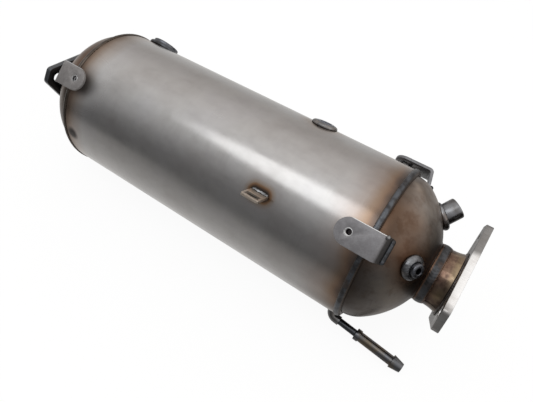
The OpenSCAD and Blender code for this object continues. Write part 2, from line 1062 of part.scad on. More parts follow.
module pressure_tap_boss() {
    color([0.45, 0.45, 0.46])
        at_inlet()
            head_boss(tap_turn, tap_place, tap_place, tap_boss_d, tap_boss_len, tap_hole_d);
}

module pressure_tap_weld() {
    color([0.32, 0.32, 0.33])
        at_inlet()
            head_boss_bead(tap_turn, tap_place, tap_place, tap_boss_d, tap_bead_r);
}

// Sets a shape along Z at the end of the elbow's bend, on the pressure pipe's axis.
module after_bend() {
    on_elbow()
        translate([elbow_bend_r, 0, elbow_foot + elbow_bend_r])
            rotate([0, 90, 0])
                children();
}

// The elbow's way: a straight foot, the bend and a straight end, of a given diameter.
module elbow_way(d, below) {
    on_elbow() {
        translate([0, 0, -below])
            cylinder(d = d, h = elbow_foot + below, $fn = fn_small);
        translate([elbow_bend_r, 0, elbow_foot])
            rotate([-90, 0, 0])
                rotate_extrude(angle = 90, $fn = fn_large)
                    translate([-elbow_bend_r, 0])
                        circle(d = d, $fn = fn_small);
        translate([elbow_bend_r, 0, elbow_foot + elbow_bend_r])
            rotate([0, 90, 0])
                cylinder(d = d, h = elbow_end, $fn = fn_small);
    }
}

module pressure_elbow() {
    color([0.28, 0.28, 0.30])
        difference() {
            elbow_way(elbow_d, elbow_d / 4);
            can_fill();
            elbow_way(tube_bore, elbow_d / 2);
            after_bend()
                translate([0, 0, tube_start])
                    cylinder(d = tube_d + 2 * slip, h = elbow_d, $fn = fn_small);
        }
}

module elbow_weld() {
    color([0.30, 0.30, 0.31])
        difference() {
            on_elbow()
                ring_bead(elbow_d, elbow_bead_r);
            can_fill();
            on_elbow()
                seat_hole(elbow_d, elbow_d);
            at_inlet()
                seam_bead();
        }
}

module pressure_tube() {
    color([0.34, 0.34, 0.36])
        after_bend()
            rotate_extrude($fn = fn_small)
                translate([tube_bore / 2, tube_start])
                    square([(tube_d - tube_bore) / 2, 2 * tube_socket + tube_len]);
}

module hose_nipple() {
    color([0.28, 0.28, 0.30])
        after_bend()
            translate([0, 0, nipple_start])
                rotate_extrude($fn = fn_small)
                    difference() {
                        union() {
                            square([collar_d / 2, collar_len]);
                            square([stem_d / 2, collar_len + stem_len]);
                            translate([0, collar_len + stem_len])
                                polygon([
                                    [0, 0],
                                    [barb_d / 2, 0],
                                    [barb_tip_d / 2, barb_len],
                                    [0, barb_len]
                                ]);
                        }
                        square([tube_d / 2 + slip, tube_socket]);
                        square([tube_bore / 2, past]);
                    }
}

can_shell();
inlet_dome();
outlet_dome();
inlet_neck();
inlet_flange();
outlet_flange();
oxidation_brick();
oxidation_mat();
filter_segments();
filter_cement();
filter_mat();
inlet_seam_weld();
outlet_seam_weld();
inlet_neck_weld();
inlet_flange_weld();
outlet_flange_weld();
front_inlet_bracket();
rear_inlet_bracket();
front_outlet_bracket();
bracket_weld_nuts();
bracket_welds();
shield_tab();
tab_welds();
gap_sensor_boss();
gap_boss_weld();
outlet_sensor_boss();
outlet_boss_weld();
temperature_boss();
temperature_boss_weld();
pressure_tap_boss();
pressure_tap_weld();
pressure_elbow();
elbow_weld();
pressure_tube();
hose_nipple();
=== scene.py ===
"""Looks of a diesel particulate filter: welds, plates, finishes, studio and camera."""
import json
import logging
import math
from collections.abc import Mapping, Sequence
from dataclasses import dataclass
from enum import Enum
from typing import Any

import bpy
from mathutils import Matrix, Vector, noise


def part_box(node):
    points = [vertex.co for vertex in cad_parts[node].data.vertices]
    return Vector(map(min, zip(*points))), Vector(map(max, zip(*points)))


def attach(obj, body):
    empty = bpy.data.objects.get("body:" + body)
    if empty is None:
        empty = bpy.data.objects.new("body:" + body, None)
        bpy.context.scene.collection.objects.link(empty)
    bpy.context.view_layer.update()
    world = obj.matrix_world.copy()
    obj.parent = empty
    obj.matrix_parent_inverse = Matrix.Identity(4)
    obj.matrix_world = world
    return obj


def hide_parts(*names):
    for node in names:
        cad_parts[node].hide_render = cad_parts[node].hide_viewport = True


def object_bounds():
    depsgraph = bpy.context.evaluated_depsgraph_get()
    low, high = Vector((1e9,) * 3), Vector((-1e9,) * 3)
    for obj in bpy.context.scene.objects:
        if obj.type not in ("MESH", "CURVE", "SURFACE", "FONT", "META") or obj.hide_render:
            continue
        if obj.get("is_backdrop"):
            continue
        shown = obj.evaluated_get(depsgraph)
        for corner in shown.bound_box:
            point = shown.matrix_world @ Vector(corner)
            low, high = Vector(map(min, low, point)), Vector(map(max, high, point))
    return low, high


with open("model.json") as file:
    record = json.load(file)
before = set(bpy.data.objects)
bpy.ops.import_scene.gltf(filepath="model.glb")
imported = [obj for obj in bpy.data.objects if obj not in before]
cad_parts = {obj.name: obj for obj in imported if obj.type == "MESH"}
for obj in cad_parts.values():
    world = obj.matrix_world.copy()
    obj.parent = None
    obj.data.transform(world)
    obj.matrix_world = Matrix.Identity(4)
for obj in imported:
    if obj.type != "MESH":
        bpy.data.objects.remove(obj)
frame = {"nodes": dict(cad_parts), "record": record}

Colour = tuple[float, float, float]
Point = tuple[float, float, float]
Span = tuple[float, float]
Stops = tuple[tuple[float, Colour], ...]

LOG = logging.getLogger("particulate_filter")
BODY = "root"
MM = 0.001
AXIS = Vector((1.0, 0.0, 0.0))
CLEAR: Colour = (1.0, 1.0, 1.0)


class Slot(Enum):
    """Material slots of the part's record."""

    CAN = "can_steel"
    DOME = "dome_steel"
    NECK = "neck_steel"
    FLANGE = "flange_steel"
    WELD = "weld"
    BRACKET = "bracket_steel"
    BOSS = "boss_steel"
    PIPE = "pipe_steel"
    OXIDATION = "oxidation_ceramic"
    FILTER = "filter_ceramic"
    CEMENT = "filter_cement"
    MAT = "mat_fibre"


class Bracket(Enum):
    """The three brackets, by the name of the node and of its mount."""

    NEAR = "front_inlet_bracket"
    REAR = "rear_inlet_bracket"
    FAR = "front_outlet_bracket"


def grey(tone: float) -> Colour:
    """Neutral colour of one tone."""
    return (tone, tone, tone)


def degrees(*angles: float) -> tuple[float, ...]:
    """Angles given in degrees, in radians."""
    return tuple(math.radians(angle) for angle in angles)


def middle(node: str) -> Vector:
    """Middle of a CAD node's box, in metres."""
    low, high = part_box(node)
    return (Vector(low) + Vector(high)) / 2


def outward(node: str) -> Vector:
    """Direction from the can's axis to a CAD node's middle."""
    return (middle(node) * Vector((0.0, 1.0, 1.0))).normalized()


def turn_of(point: Vector) -> float:
    """Angle of a point round the can's axis, from the front up, in radians."""
    return math.atan2(point.z, -point.y)


def half_length(node: str) -> float:
    """Half of a CAD node's length along the can."""
    low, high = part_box(node)
    return (high[0] - low[0]) / 2


def mount(name: str) -> tuple[Vector, Vector]:
    """Place, in metres, and axis of the record's mount of this name."""
    held = next(m for m in frame["record"]["mounts"] if m["name"] == name)
    return Vector(held["pos_m"]), Vector(held["axis"]).normalized()


@dataclass(frozen=True)
class Layer:
    """A layer of cloudy noise: cells per metre, octaves, tint and effect on roughness."""

    scale: Point
    detail: float = 2.0
    finer: float = 0.5
    tint: Stops = ()
    share: float = 1.0
    rough: float = 0.0


class Wire:
    """A shader socket that takes part in Python sums, each adding a Math node."""

    def __init__(self, graph: "Graph", socket: bpy.types.NodeSocket) -> None:
        """Keep the graph and its socket."""
        self.graph = graph
        self.socket = socket

    def __add__(self, other: "Wire | float") -> "Wire":
        """Sum of two values."""
        return self.graph.math("ADD", self, other)

    def __radd__(self, other: float) -> "Wire":
        """Sum with the number first."""
        return self.graph.math("ADD", other, self)

    def __sub__(self, other: "Wire | float") -> "Wire":
        """Difference of two values."""
        return self.graph.math("SUBTRACT", self, other)

    def __rsub__(self, other: float) -> "Wire":
        """Difference with the number first."""
        return self.graph.math("SUBTRACT", other, self)

    def __mul__(self, other: "Wire | float") -> "Wire":
        """Product of two values."""
        return self.graph.math("MULTIPLY", self, other)

    def __rmul__(self, other: float) -> "Wire":
        """Product with the number first."""
        return self.graph.math("MULTIPLY", other, self)

    def __truediv__(self, other: "Wire | float") -> "Wire":
        """Quotient of two values."""
        return self.graph.math("DIVIDE", self, other)

    def __abs__(self) -> "Wire":
        """Size without sign."""
        return self.graph.math("ABSOLUTE", self)

    def __neg__(self) -> "Wire":
        """Value with the other sign."""
        return self.graph.math("MULTIPLY", self, -1.0)

    def spread(self, width: float) -> "Wire":
        """Noise from 0 to 1 as a value around 0, of a given width."""
        return (self - 0.5) * width


class Graph:
    """A node tree that is written as expressions."""

    def __init__(self, tree: bpy.types.NodeTree) -> None:
        """Empty the tree and keep it, with no noise so far.

        Args:
            tree: the material's or world's tree.
        """
        self.tree = tree
        self.noises: dict[Layer, Wire] = {}
        tree.nodes.clear()

    def node(
        self,
        kind: str,
        settings: Mapping[str, Any] | None = None,
        sockets: Mapping[str | int, Any] | None = None,
    ) -> bpy.types.Node:
        """Add a node.

        Args:
            kind: the node's type.
            settings: its own settings, set first; stops fill a colour ramp.
            sockets: values or wires for its inputs, by name or place.

        Returns:
            The new node.
        """
        made = self.tree.nodes.new(kind)
        for key, value in (settings or {}).items():
            if key == "stops":
                self.fill_ramp(made.color_ramp, value)
            else:
                setattr(made, key, value)
        for key, value in (sockets or {}).items():
            if isinstance(value, Wire):
                self.tree.links.new(value.socket, made.inputs[key])
            else:
                made.inputs[key].default_value = value
        return made

    @staticmethod
    def fill_ramp(ramp: bpy.types.ColorRamp, stops: Stops) -> None:
        """Set a ramp's stops.

        Args:
            ramp: the colour ramp.
            stops: places from 0 to 1 and their colours, in order.
        """
        while len(ramp.elements) < len(stops):
            ramp.elements.new(1.0)
        for element, (place, colour) in zip(ramp.elements, stops):
            element.position = place
            element.color = (*colour, 1.0)

    def math(self, operation: str, *terms: Wire | float) -> Wire:
        """Result of a Math node of one operation on values or wires."""
        made = self.node("ShaderNodeMath", {"operation": operation}, dict(enumerate(terms)))
        return Wire(self, made.outputs[0])

    def vector(self, operation: str, *terms: Wire | Vector) -> bpy.types.Node:
        """Vector Math node of one operation on vectors or wires."""
        ends = [term if isinstance(term, Wire) else tuple(term) for term in terms]
        return self.node("ShaderNodeVectorMath", {"operation": operation}, dict(enumerate(ends)))

    def coords(self) -> Wire:
        """Place on the piece, in the frame's metres."""
        return Wire(self, self.node("ShaderNodeTexCoord").outputs["Object"])

    def split(self, vector: Wire) -> tuple[Wire, Wire, Wire]:
        """A vector's three values."""
        made = self.node("ShaderNodeSeparateXYZ", None, {0: vector})
        return tuple(Wire(self, made.outputs[i]) for i in range(3))

    def position(self) -> tuple[Wire, Wire, Wire]:
        """Place on the piece as three values."""
        return self.split(self.coords())

    def noise(self, layer: Layer) -> Wire:
        """Cloudy noise over the piece, added once for each layer.

        Args:
            layer: the layer of noise.

        Returns:
            Values from 0 to 1 that lie around a half.
        """
        if layer not in self.noises:
            mapped = self.node(
                "ShaderNodeMapping", None, {"Vector": self.coords(), "Scale": layer.scale})
            made = self.node("ShaderNodeTexNoise", None, {
                "Vector": Wire(self, mapped.outputs[0]), "Scale": 1.0,
                "Detail": layer.detail, "Roughness": layer.finer})
            self.noises[layer] = Wire(self, made.outputs[0])
        return self.noises[layer]

    def ramp(self, value: Wire, stops: Stops) -> Wire:
        """Colour that a ramp of stops has at a value from 0 to 1."""
        made = self.node("ShaderNodeValToRGB", {"stops": stops}, {0: value})
        return Wire(self, made.outputs[0])

    def mix(self, kind: str, share: Wire | float, under: Wire | Colour, over: Wire | Colour) -> Wire:
        """Mix two colours.

        Args:
            kind: blend type, such as MIX or MULTIPLY.
            share: how much of the second colour.
            under: first colour.
            over: second colour.

        Returns:
            The mixed colour.
        """
        ends = [c if isinstance(c, Wire) else (*c, 1.0) for c in (under, over)]
        settings = {"data_type": "RGBA", "blend_type": kind}
        made = self.node("ShaderNodeMix", settings, {0: share, 6: ends[0], 7: ends[1]})
        return Wire(self, made.outputs[2])

    def tint(self, under: Wire | Colour, value: Wire, stops: Stops, share: float = 1.0) -> Wire:
        """Multiply a colour by a share of a ramp, read at a value from 0 to 1."""
        return self.mix("MULTIPLY", share, under, self.ramp(value, stops))

    def layered(self, under: Wire | Colour, *layers: Layer) -> Wire:
        """Tint a colour by layers of noise.

        Args:
            under: the colour.
            layers: the layers, in order.

        Returns:
            The tinted colour.
        """
        for layer in layers:
            under = self.tint(under, self.noise(layer), layer.tint, layer.share)
        return under

    def uneven(self, gloss: float, *layers: Layer) -> Wire:
        """Roughness that layers of noise make uneven.

        Args:
            gloss: its mean.
            layers: the layers.

        Returns:
            The roughness.
        """
        rough = gloss
        for layer in layers:
            rough = self.noise(layer).spread(layer.rough) + rough
        return rough

    def step(self, value: Wire, low: float, high: float) -> Wire:
        """Smooth step from 0 to 1.

        Args:
            value: what is measured.
            low: where the step begins.
            high: where the step ends; below low, the step falls instead.

        Returns:
            0 before the step and 1 after it.
        """
        settings = {"interpolation_type": "SMOOTHSTEP"}
        ends = {0: value, 1: min(low, high), 2: max(low, high)}
        made = self.node("ShaderNodeMapRange", settings, ends)
        made.inputs[3].default_value = 0.0 if low < high else 1.0
        made.inputs[4].default_value = 1.0 if low < high else 0.0
        return Wire(self, made.outputs[0])

    def turn(self, y: Wire, z: Wire) -> Wire:
        """Angle round the can's axis, from the front up, in radians."""
        return self.math("ARCTAN2", z, -y)

    def reach(self, spot: Vector) -> Wire:
        """Distance from a spot, in metres."""
        return Wire(self, self.vector("DISTANCE", self.coords(), spot).outputs["Value"])

    def along(self, spot: Vector, way: Vector) -> Wire:
        """Distance from a spot along a direction of length 1, in metres."""
        made = self.vector("DOT_PRODUCT", self.coords(), way)
        return Wire(self, made.outputs["Value"]) - spot.dot(way)

    def off_line(self, spot: Vector, along: Vector) -> Wire:
        """Distance from a line.

        Args:
            spot: a point of the line.
            along: the line's direction, of length 1.

        Returns:
            The distance, in metres.
        """
        away = Wire(self, self.vector("SUBTRACT", self.coords(), spot).outputs[0])
        aside = Wire(self, self.vector("CROSS_PRODUCT", away, along).outputs[0])
        return Wire(self, self.vector("LENGTH", aside).outputs["Value"])

    def bump(self, height: Wire, depth: float, share: float) -> Wire:
        """Normal of a bump whose height of 1 is this deep and of which this share shows."""
        sockets = {"Strength": share, "Distance": depth, "Height": height}
        return Wire(self, self.node("ShaderNodeBump", None, sockets).outputs[0])

    def surface(self, sockets: Mapping[str, Any]) -> None:
        """Finish the tree with a Principled shader that has these inputs."""
        shader = self.node("ShaderNodeBsdfPrincipled", None, sockets)
        self.node("ShaderNodeOutputMaterial", None, {0: Wire(self, shader.outputs[0])})


@dataclass(frozen=True)
class Finish:
    """What every finish has: the record's slot that it belongs to."""

    slot: Slot

    def material(self) -> bpy.types.Material:
        """Make a material with this finish.

        Returns:
            The material.
        """
        made = bpy.data.materials.new(f"{self.slot.value}_finish")
        made.use_nodes = True
        self.paint(Graph(made.node_tree))
        return made

    def paint(self, g: Graph) -> None:
        """Write the finish's nodes; each finish has its own."""
        raise NotImplementedError(self.slot.value)


@dataclass(frozen=True)
class CanSteel(Finish):
    """Rolled stainless of the can, with heat tint at its seams and round what is welded on."""

    slot: Slot = Slot.CAN
    steel: Colour = (0.372, 0.364, 0.357)
    gloss: float = 0.20
    can_r: float = 77.5 * MM
    grain: Layer = Layer(
        (1300, 20, 20), 2.0, 0.6, ((0.3, grey(0.98)), (0.7, grey(1.015))), rough=0.03)
    cloud: Layer = Layer(
        (22, 22, 22), 3.0, 0.55,
        ((0.32, (0.89, 0.875, 0.87)), (0.5, CLEAR), (0.7, (1.02, 1.02, 1.04))), 0.8, 0.10)
    smear: Layer = Layer(
        (26, 70, 70), 4.0, 0.6, ((0.28, (0.88, 0.87, 0.88)), (0.46, CLEAR)), 0.5, 0.26)
    scuff: Layer = Layer(
        (70, 110, 110), 4.0, 0.6,
        ((0.34, (0.88, 0.88, 0.885)), (0.5, CLEAR), (0.66, grey(1.06))), 0.32)
    wave: Layer = Layer((9, 14, 14), 1.0, 0.4)
    relief: Span = (1.4 * MM, 0.35)
    flame: Layer = Layer((30, 34, 34))
    lick: float = 16 * MM
    inlet_reach: float = 44 * MM
    inlet_tint: Stops = (
        (0.0, (0.20, 0.165, 0.15)), (0.07, (0.34, 0.25, 0.20)), (0.15, (0.54, 0.38, 0.28)),
        (0.22, (0.64, 0.48, 0.37)), (0.43, (0.82, 0.73, 0.68)), (0.75, (0.94, 0.91, 0.90)),
        (1.0, CLEAR))
    outlet_reach: float = 34 * MM
    outlet_lick: float = 0.6
    outlet_tint: Stops = (
        (0.0, (0.32, 0.245, 0.20)), (0.11, (0.42, 0.31, 0.24)), (0.22, (0.64, 0.52, 0.43)),
        (0.42, (0.85, 0.78, 0.73)), (0.8, CLEAR))
    # Painted shade: the foot of the inlet end, over these turns and this reach, is darkened by the
    # tone below.
    foot_turns: Span = degrees(9, -9)
    foot_reach: float = 75 * MM
    lower_shade_tone: Colour = (0.50, 0.475, 0.45)
    tab_half: float = 5 * MM
    tab_reach: float = 18 * MM
    tab_lick: float = 0.16
    tab_tint: Stops = (
        (0.20, (0.12, 0.10, 0.09)), (0.28, (0.30, 0.19, 0.13)), (0.36, (0.62, 0.38, 0.22)),
        (0.46, (0.80, 0.68, 0.58)), (0.66, (0.93, 0.91, 0.90)), (1.0, CLEAR))
    boss_reach: float = 16 * MM
    boss_lick: float = 0.3
    boss_tint: Stops = (
        (0.0, (0.56, 0.46, 0.39)), (0.25, (0.70, 0.60, 0.52)), (0.5, (0.88, 0.82, 0.79)),
        (1.0, CLEAR))
    # Painted shade on the can under the near bracket's nut, and a bluer painted shade where the can
    # shows through its bore.
    nut_shade_reach: Span = (12.32 * MM, 4.48 * MM)
    nut_shade_tone: Colour = (0.30, 0.275, 0.265)
    bore_shade_reach: Span = (5.6 * MM, 2.8 * MM)
    bore_shade_tone: Colour = (0.40, 0.48, 0.62)
    # Painted shade on the can round the far bracket.
    shade_reach: float = 26 * MM
    shade_tone: Colour = (0.40, 0.385, 0.38)
    dull_reach: float = 42 * MM
    dull_rough: float = 0.55
    smudge_turn: float = math.radians(11)
    smudge_in: float = 10 * MM
    smudge_reach: Span = (10 * MM, 3.5 * MM)
    smudge_lick: float = 0.2
    smudge_tone: Colour = (0.06, 0.05, 0.043)

    def seams(self, g: Graph, under: Wire, x: Wire, turn: Wire, lick: Wire) -> Wire:
        """Tint the can's two ends, and darken the foot of the inlet end with painted shade.

        Args:
            g: the graph.
            under: colour of the bare can.
            x: place along the can.
            turn: angle round the can.
            lick: uneven reach of the heat.

        Returns:
            The tinted colour.
        """
        low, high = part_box("can_shell")
        tinted = g.tint(under, (high[0] - x + lick) / self.inlet_reach, self.inlet_tint)
        run = (x - low[0] + lick * self.outlet_lick) / self.outlet_reach
        tinted = g.tint(tinted, run, self.outlet_tint)
        # painted shade on the foot of the inlet end
        foot = g.step(turn, *self.foot_turns) * g.step(high[0] - x, self.foot_reach, 0.0)
        return g.mix("MULTIPLY", foot, tinted, self.lower_shade_tone)

    def rings(self, g: Graph, under: Wire, x: Wire, turn: Wire, lick: Wire) -> Wire:
        """Tint round the tab and the bosses.

        Args:
            g: the graph.
            under: colour so far.
            x: place along the can.
            turn: angle round the can.
            lick: uneven reach of the heat.

        Returns:
            The tinted colour.
        """
        tab = middle("tab_welds")
        beside = g.math("MAXIMUM", abs(x - tab.x) - self.tab_half, 0.0)
        arc = abs((turn - turn_of(tab)) * self.can_r)
        run = g.math("SQRT", beside * beside + arc * arc) + lick * self.tab_lick
        tinted = g.tint(under, run / self.tab_reach, self.tab_tint)
        for weld in ("gap_boss_weld", "outlet_boss_weld"):
            run = g.reach(middle(weld)) - half_length(weld) + lick * self.boss_lick
            tinted = g.tint(tinted, run / self.boss_reach, self.boss_tint)
        return tinted

    def spots(self, g: Graph, under: Wire, lick: Wire) -> Wire:
        """Paint shade on the can under and round the front brackets, and darken a smudge at the
        outlet seam.

        Args:
            g: the graph.
            under: colour so far.
            lick: uneven edge of the smudge.

        Returns:
            The darkened colour.
        """
        place, axis = mount(Bracket.NEAR.value)
        far = g.reach(mount(Bracket.FAR.value)[0])
        smudge = Vector((
            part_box("can_shell")[0][0] + self.smudge_in,
            -math.cos(self.smudge_turn) * self.can_r, math.sin(self.smudge_turn) * self.can_r))
        # painted shade under the near nut and in its bore, painted shade round the far bracket, then
        # the smudge
        darker = (
            (g.step(g.reach(place), *self.nut_shade_reach), self.nut_shade_tone),
            (g.step(g.off_line(place, axis), *self.bore_shade_reach), self.bore_shade_tone),
            (g.step(far, self.shade_reach, 0.0), self.shade_tone),
            (g.step(g.reach(smudge) + lick * self.smudge_lick, *self.smudge_reach), self.smudge_tone))
        for mask, tone in darker:
            under = g.mix("MULTIPLY", mask, under, tone)
        return under

    def paint(self, g: Graph) -> None:
        """Write the can's nodes.

        Args:
            g: the graph.
        """
        x, y, z = g.position()
        turn = g.turn(y, z)
        lick = g.noise(self.flame).spread(self.lick)
        lighter = g.layered(self.steel, self.grain, self.cloud, self.smear, self.scuff)
        tinted = self.rings(g, self.seams(g, lighter, x, turn, lick), x, turn, lick)
        dull = g.step(g.reach(mount(Bracket.FAR.value)[0]), self.dull_reach, 0.0)
        rough = g.uneven(self.gloss, self.grain, self.cloud, self.smear) + dull * self.dull_rough
        g.surface({
            "Base Color": self.spots(g, tinted, lick), "Metallic": 1.0, "Roughness": rough,
            "Normal": g.bump(g.noise(self.wave), *self.relief)})


@dataclass(frozen=True)
class Zone:
    """Part of a dome: the steps that bound it round the can and up from the seam."""

    turns: tuple[Span, ...]
    runs: tuple[Span, ...]

    def mask(self, g: Graph, turn: Wire, run: Wire) -> Wire:
        """Where the zone is.

        Args:
            g: the graph.
            turn: angle round the can.
            run: height above the seam, as a share of the dome's.

        Returns:
            1 inside the zone and 0 outside it.
        """
        steps = [g.step(turn, *ends) for ends in self.turns]
        steps += [g.step(run, *ends) for ends in self.runs]
        mask = steps[0]
        for other in steps[1:]:
            mask = mask * other
        return mask


@dataclass(frozen=True)
class DomeSteel(Finish):
    """Pressed steel of the domed ends, browned by the welding."""

    slot: Slot = Slot.DOME
    steel: Colour = (0.262, 0.236, 0.216)
    gloss: float = 0.34
    rise: float = 55 * MM
    seam_tint: Colour = (0.30, 0.25, 0.22)
    rise_tint: Stops = (
        (0.10, (0.46, 0.41, 0.375)), (0.22, (0.65, 0.615, 0.59)), (0.42, (0.88, 0.87, 0.86)),
        (0.66, (0.98, 0.96, 0.93)), (0.76, (0.86, 0.82, 0.78)), (0.85, (0.54, 0.51, 0.49)),
        (0.94, (0.30, 0.285, 0.28)))
    cloud: Layer = Layer(
        (26, 30, 30), 3.0, 0.6,
        ((0.30, (0.68, 0.62, 0.57)), (0.50, CLEAR), (0.70, (1.10, 1.09, 1.05))), 0.9, 0.12)
    blotch: Layer = Layer(
        (80, 80, 80), 4.0, 0.65,
        ((0.36, (0.68, 0.59, 0.52)), (0.5, CLEAR), (0.66, (1.12, 1.10, 1.04))), 0.6)
    fine: Layer = Layer((240, 240, 240), 3.0, 0.6, rough=0.14)
    fine_relief: float = 0.05
    relief: Span = (0.8 * MM, 0.3)
    flame: Layer = Layer((38, 38, 38))
    lick: float = 10 * MM
    brown: Colour = (0.72, 0.56, 0.46)
    brown_lead: float = math.radians(14)
    brown_turns: Span = degrees(36, 10.8)
    brown_runs: Span = (0.85, 0.45)
    # Painted shade: a band on the dome's front is darkened by this tone.
    dark_shade_tone: Colour = (0.62, 0.62, 0.63)
    dark_shade: Zone = Zone((degrees(94, 72), degrees(36, 58)), ((0.06, 0.22), (1.0, 0.8)))
    # Painted shade: the dome's lower front near the seam is darkened more by this tone.
    lower_shade_tone: Colour = (0.47, 0.48, 0.50)
    lower_shade_zone: Zone = Zone((degrees(58, 36),), ((0.85, 0.10),))
    # The dome's upper back is lightened by this factor.
    back_lift: Colour = (1.75, 1.74, 1.72)
    back: Zone = Zone((degrees(95, 114),), ((0.08, 0.22), (0.75, 0.55)))
    tap_halo: float = 21 * MM
    boss_halo: float = 7 * MM
    halo_lick: float = 0.4
    halo_tint: Stops = (
        (0.0, (0.30, 0.24, 0.21)), (0.2, (0.62, 0.44, 0.33)), (0.45, (0.80, 0.68, 0.60)),
        (1.0, CLEAR))

    def patches(self, g: Graph, under: Wire, turn: Wire, run: Wire) -> Wire:
        """Brown the dome by the near bracket, paint shade on its front and deeper shade on its lower
        front, and lighten its upper back.

        Args:
            g: the graph.
            under: colour so far.
            turn: angle round the can.
            run: height above the seam, as a share of the dome's.

        Returns:
            The patched colour.
        """
        lead = turn - turn_of(middle(Bracket.NEAR.value)) - self.brown_lead
        near = g.step(abs(lead), *self.brown_turns) * g.step(run, *self.brown_runs)
        patched = g.mix("MULTIPLY", near, under, self.brown)
        # painted shade on the front and lower front, and the upper back lightened
        zones = ((self.dark_shade, self.dark_shade_tone), (self.lower_shade_zone, self.lower_shade_tone), (self.back, self.back_lift))
        for zone, tone in zones:
            patched = g.mix("MULTIPLY", zone.mask(g, turn, run), patched, tone)
        return patched

    def paint(self, g: Graph) -> None:
        """Write the domes' nodes, measured from the seam that is nearer.

        Args:
            g: the graph.
        """
        x, y, z = g.position()
        low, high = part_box("can_shell")
        lick = g.noise(self.flame).spread(self.lick)
        run = (g.math("MAXIMUM", x - high[0], low[0] - x) + lick) / self.rise
        base = g.tint(self.steel, run, ((0.0, self.seam_tint), *self.rise_tint))
        tinted = self.patches(g, g.layered(base, self.cloud, self.blotch), g.turn(y, z), run)
        halos = {"pressure_tap_weld": self.tap_halo, "temperature_boss_weld": self.boss_halo}
        for weld, reach in halos.items():
            off = g.reach(middle(weld)) - half_length(weld) + lick * self.halo_lick
            tinted = g.tint(tinted, off / reach, self.halo_tint)
        height = g.noise(self.cloud) + g.noise(self.fine) * self.fine_relief
        g.surface({
            "Base Color": tinted, "Metallic": 1.0,
            "Roughness": g.uneven(self.gloss, self.fine, self.cloud),
            "Normal": g.bump(height, *self.relief)})


@dataclass(frozen=True)
class NeckSteel(Finish):
    """Flared neck with straw, rose and brown heat colours between its two welds."""

    slot: Slot = Slot.NECK
    steel: Colour = (0.255, 0.226, 0.196)
    gloss: float = 0.16
    cloud: Layer = Layer(
        (85, 62, 62), 3.0, 0.55,
        ((0.38, (0.30, 0.25, 0.24)), (0.47, (0.72, 0.63, 0.59)), (0.56, (1.0, 0.94, 0.84)),
         (0.66, (1.34, 1.25, 1.03))), 0.9)
    fine: Layer = Layer((300, 300, 300), rough=0.12)
    fine_relief: float = 0.04
    relief: Span = (0.8 * MM, 0.35)
    lick: float = 9 * MM
    length_tint: Stops = (
        (0.16, (0.16, 0.14, 0.135)), (0.30, (0.58, 0.44, 0.40)), (0.44, (0.94, 0.80, 0.71)),
        (0.58, (0.97, 0.88, 0.72)), (0.72, (1.0, 0.91, 0.79)), (0.84, (0.86, 0.78, 0.68)),
        (0.93, (0.46, 0.42, 0.39)))
    # Painted shade: the neck's lower front is darkened by this tone.
    under_turns: Span = degrees(66, 44)
    lower_shade_tone: Colour = (0.50, 0.50, 0.53)

    def paint(self, g: Graph) -> None:
        """Write the neck's nodes along its length.

        Args:
            g: the graph.
        """
        x, y, z = g.position()
        low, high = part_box("inlet_neck")
        cloud = g.noise(self.cloud)
        run = (x - low[0] + cloud.spread(self.lick)) / (high[0] - low[0])
        tinted = g.layered(g.tint(self.steel, run, self.length_tint), self.cloud)
        # painted shade on the neck's lower front
        tinted = g.mix("MULTIPLY", g.step(g.turn(y, z), *self.under_turns), tinted, self.lower_shade_tone)
        g.surface({
            "Base Color": tinted, "Metallic": 1.0, "Roughness": g.uneven(self.gloss, self.fine),
            "Normal": g.bump(cloud + g.noise(self.fine) * self.fine_relief, *self.relief)})


@dataclass(frozen=True)
class WeldMetal(Finish):
    """Weld metal, dark blue-grey unless told otherwise, with brown scale in its hollows."""

    slot: Slot = Slot.WELD
    dark: Colour = (0.040, 0.039, 0.040)
    light: Colour = (0.088, 0.094, 0.104)
    scale: Colour = (0.085, 0.062, 0.048)
    gloss: float = 0.36
    rust: float = 0.5
    ring: str = ""
    metallic: float = 0.95
    cloud: Layer = Layer((130, 130, 130), 2.0, 0.55)
    cloud_ends: Span = (0.34, 0.66)
    fine: Layer = Layer((900, 900, 900), 3.0, 0.6, rough=0.2)
    fine_relief: float = 0.2
    relief: Span = (0.25 * MM, 0.4)
    blot: Layer = Layer((90, 90, 90))
    blot_ends: Span = (0.54, 0.70)
    edge_ends: Span = (0.45, 0.9)

    def paint(self, g: Graph) -> None:
        """Write the weld's nodes; a ring's two edges fade into scale.

        Args:
            g: the graph.
        """
        cloud = g.noise(self.cloud)
        rust = g.step(g.noise(self.blot), *self.blot_ends) * self.rust
        if self.ring:
            aside = abs(g.position()[0] - middle(self.ring).x)
            edge = (half_length(self.ring) * share for share in self.edge_ends)
            rust = g.math("MAXIMUM", rust, g.step(aside, *edge))
        metal = g.mix("MIX", g.step(cloud, *self.cloud_ends), self.dark, self.light)
        g.surface({
            "Base Color": g.mix("MIX", rust, metal, self.scale), "Metallic": self.metallic,
            "Roughness": g.uneven(self.gloss, self.fine),
            "Normal": g.bump(cloud + g.noise(self.fine) * self.fine_relief, *self.relief)})


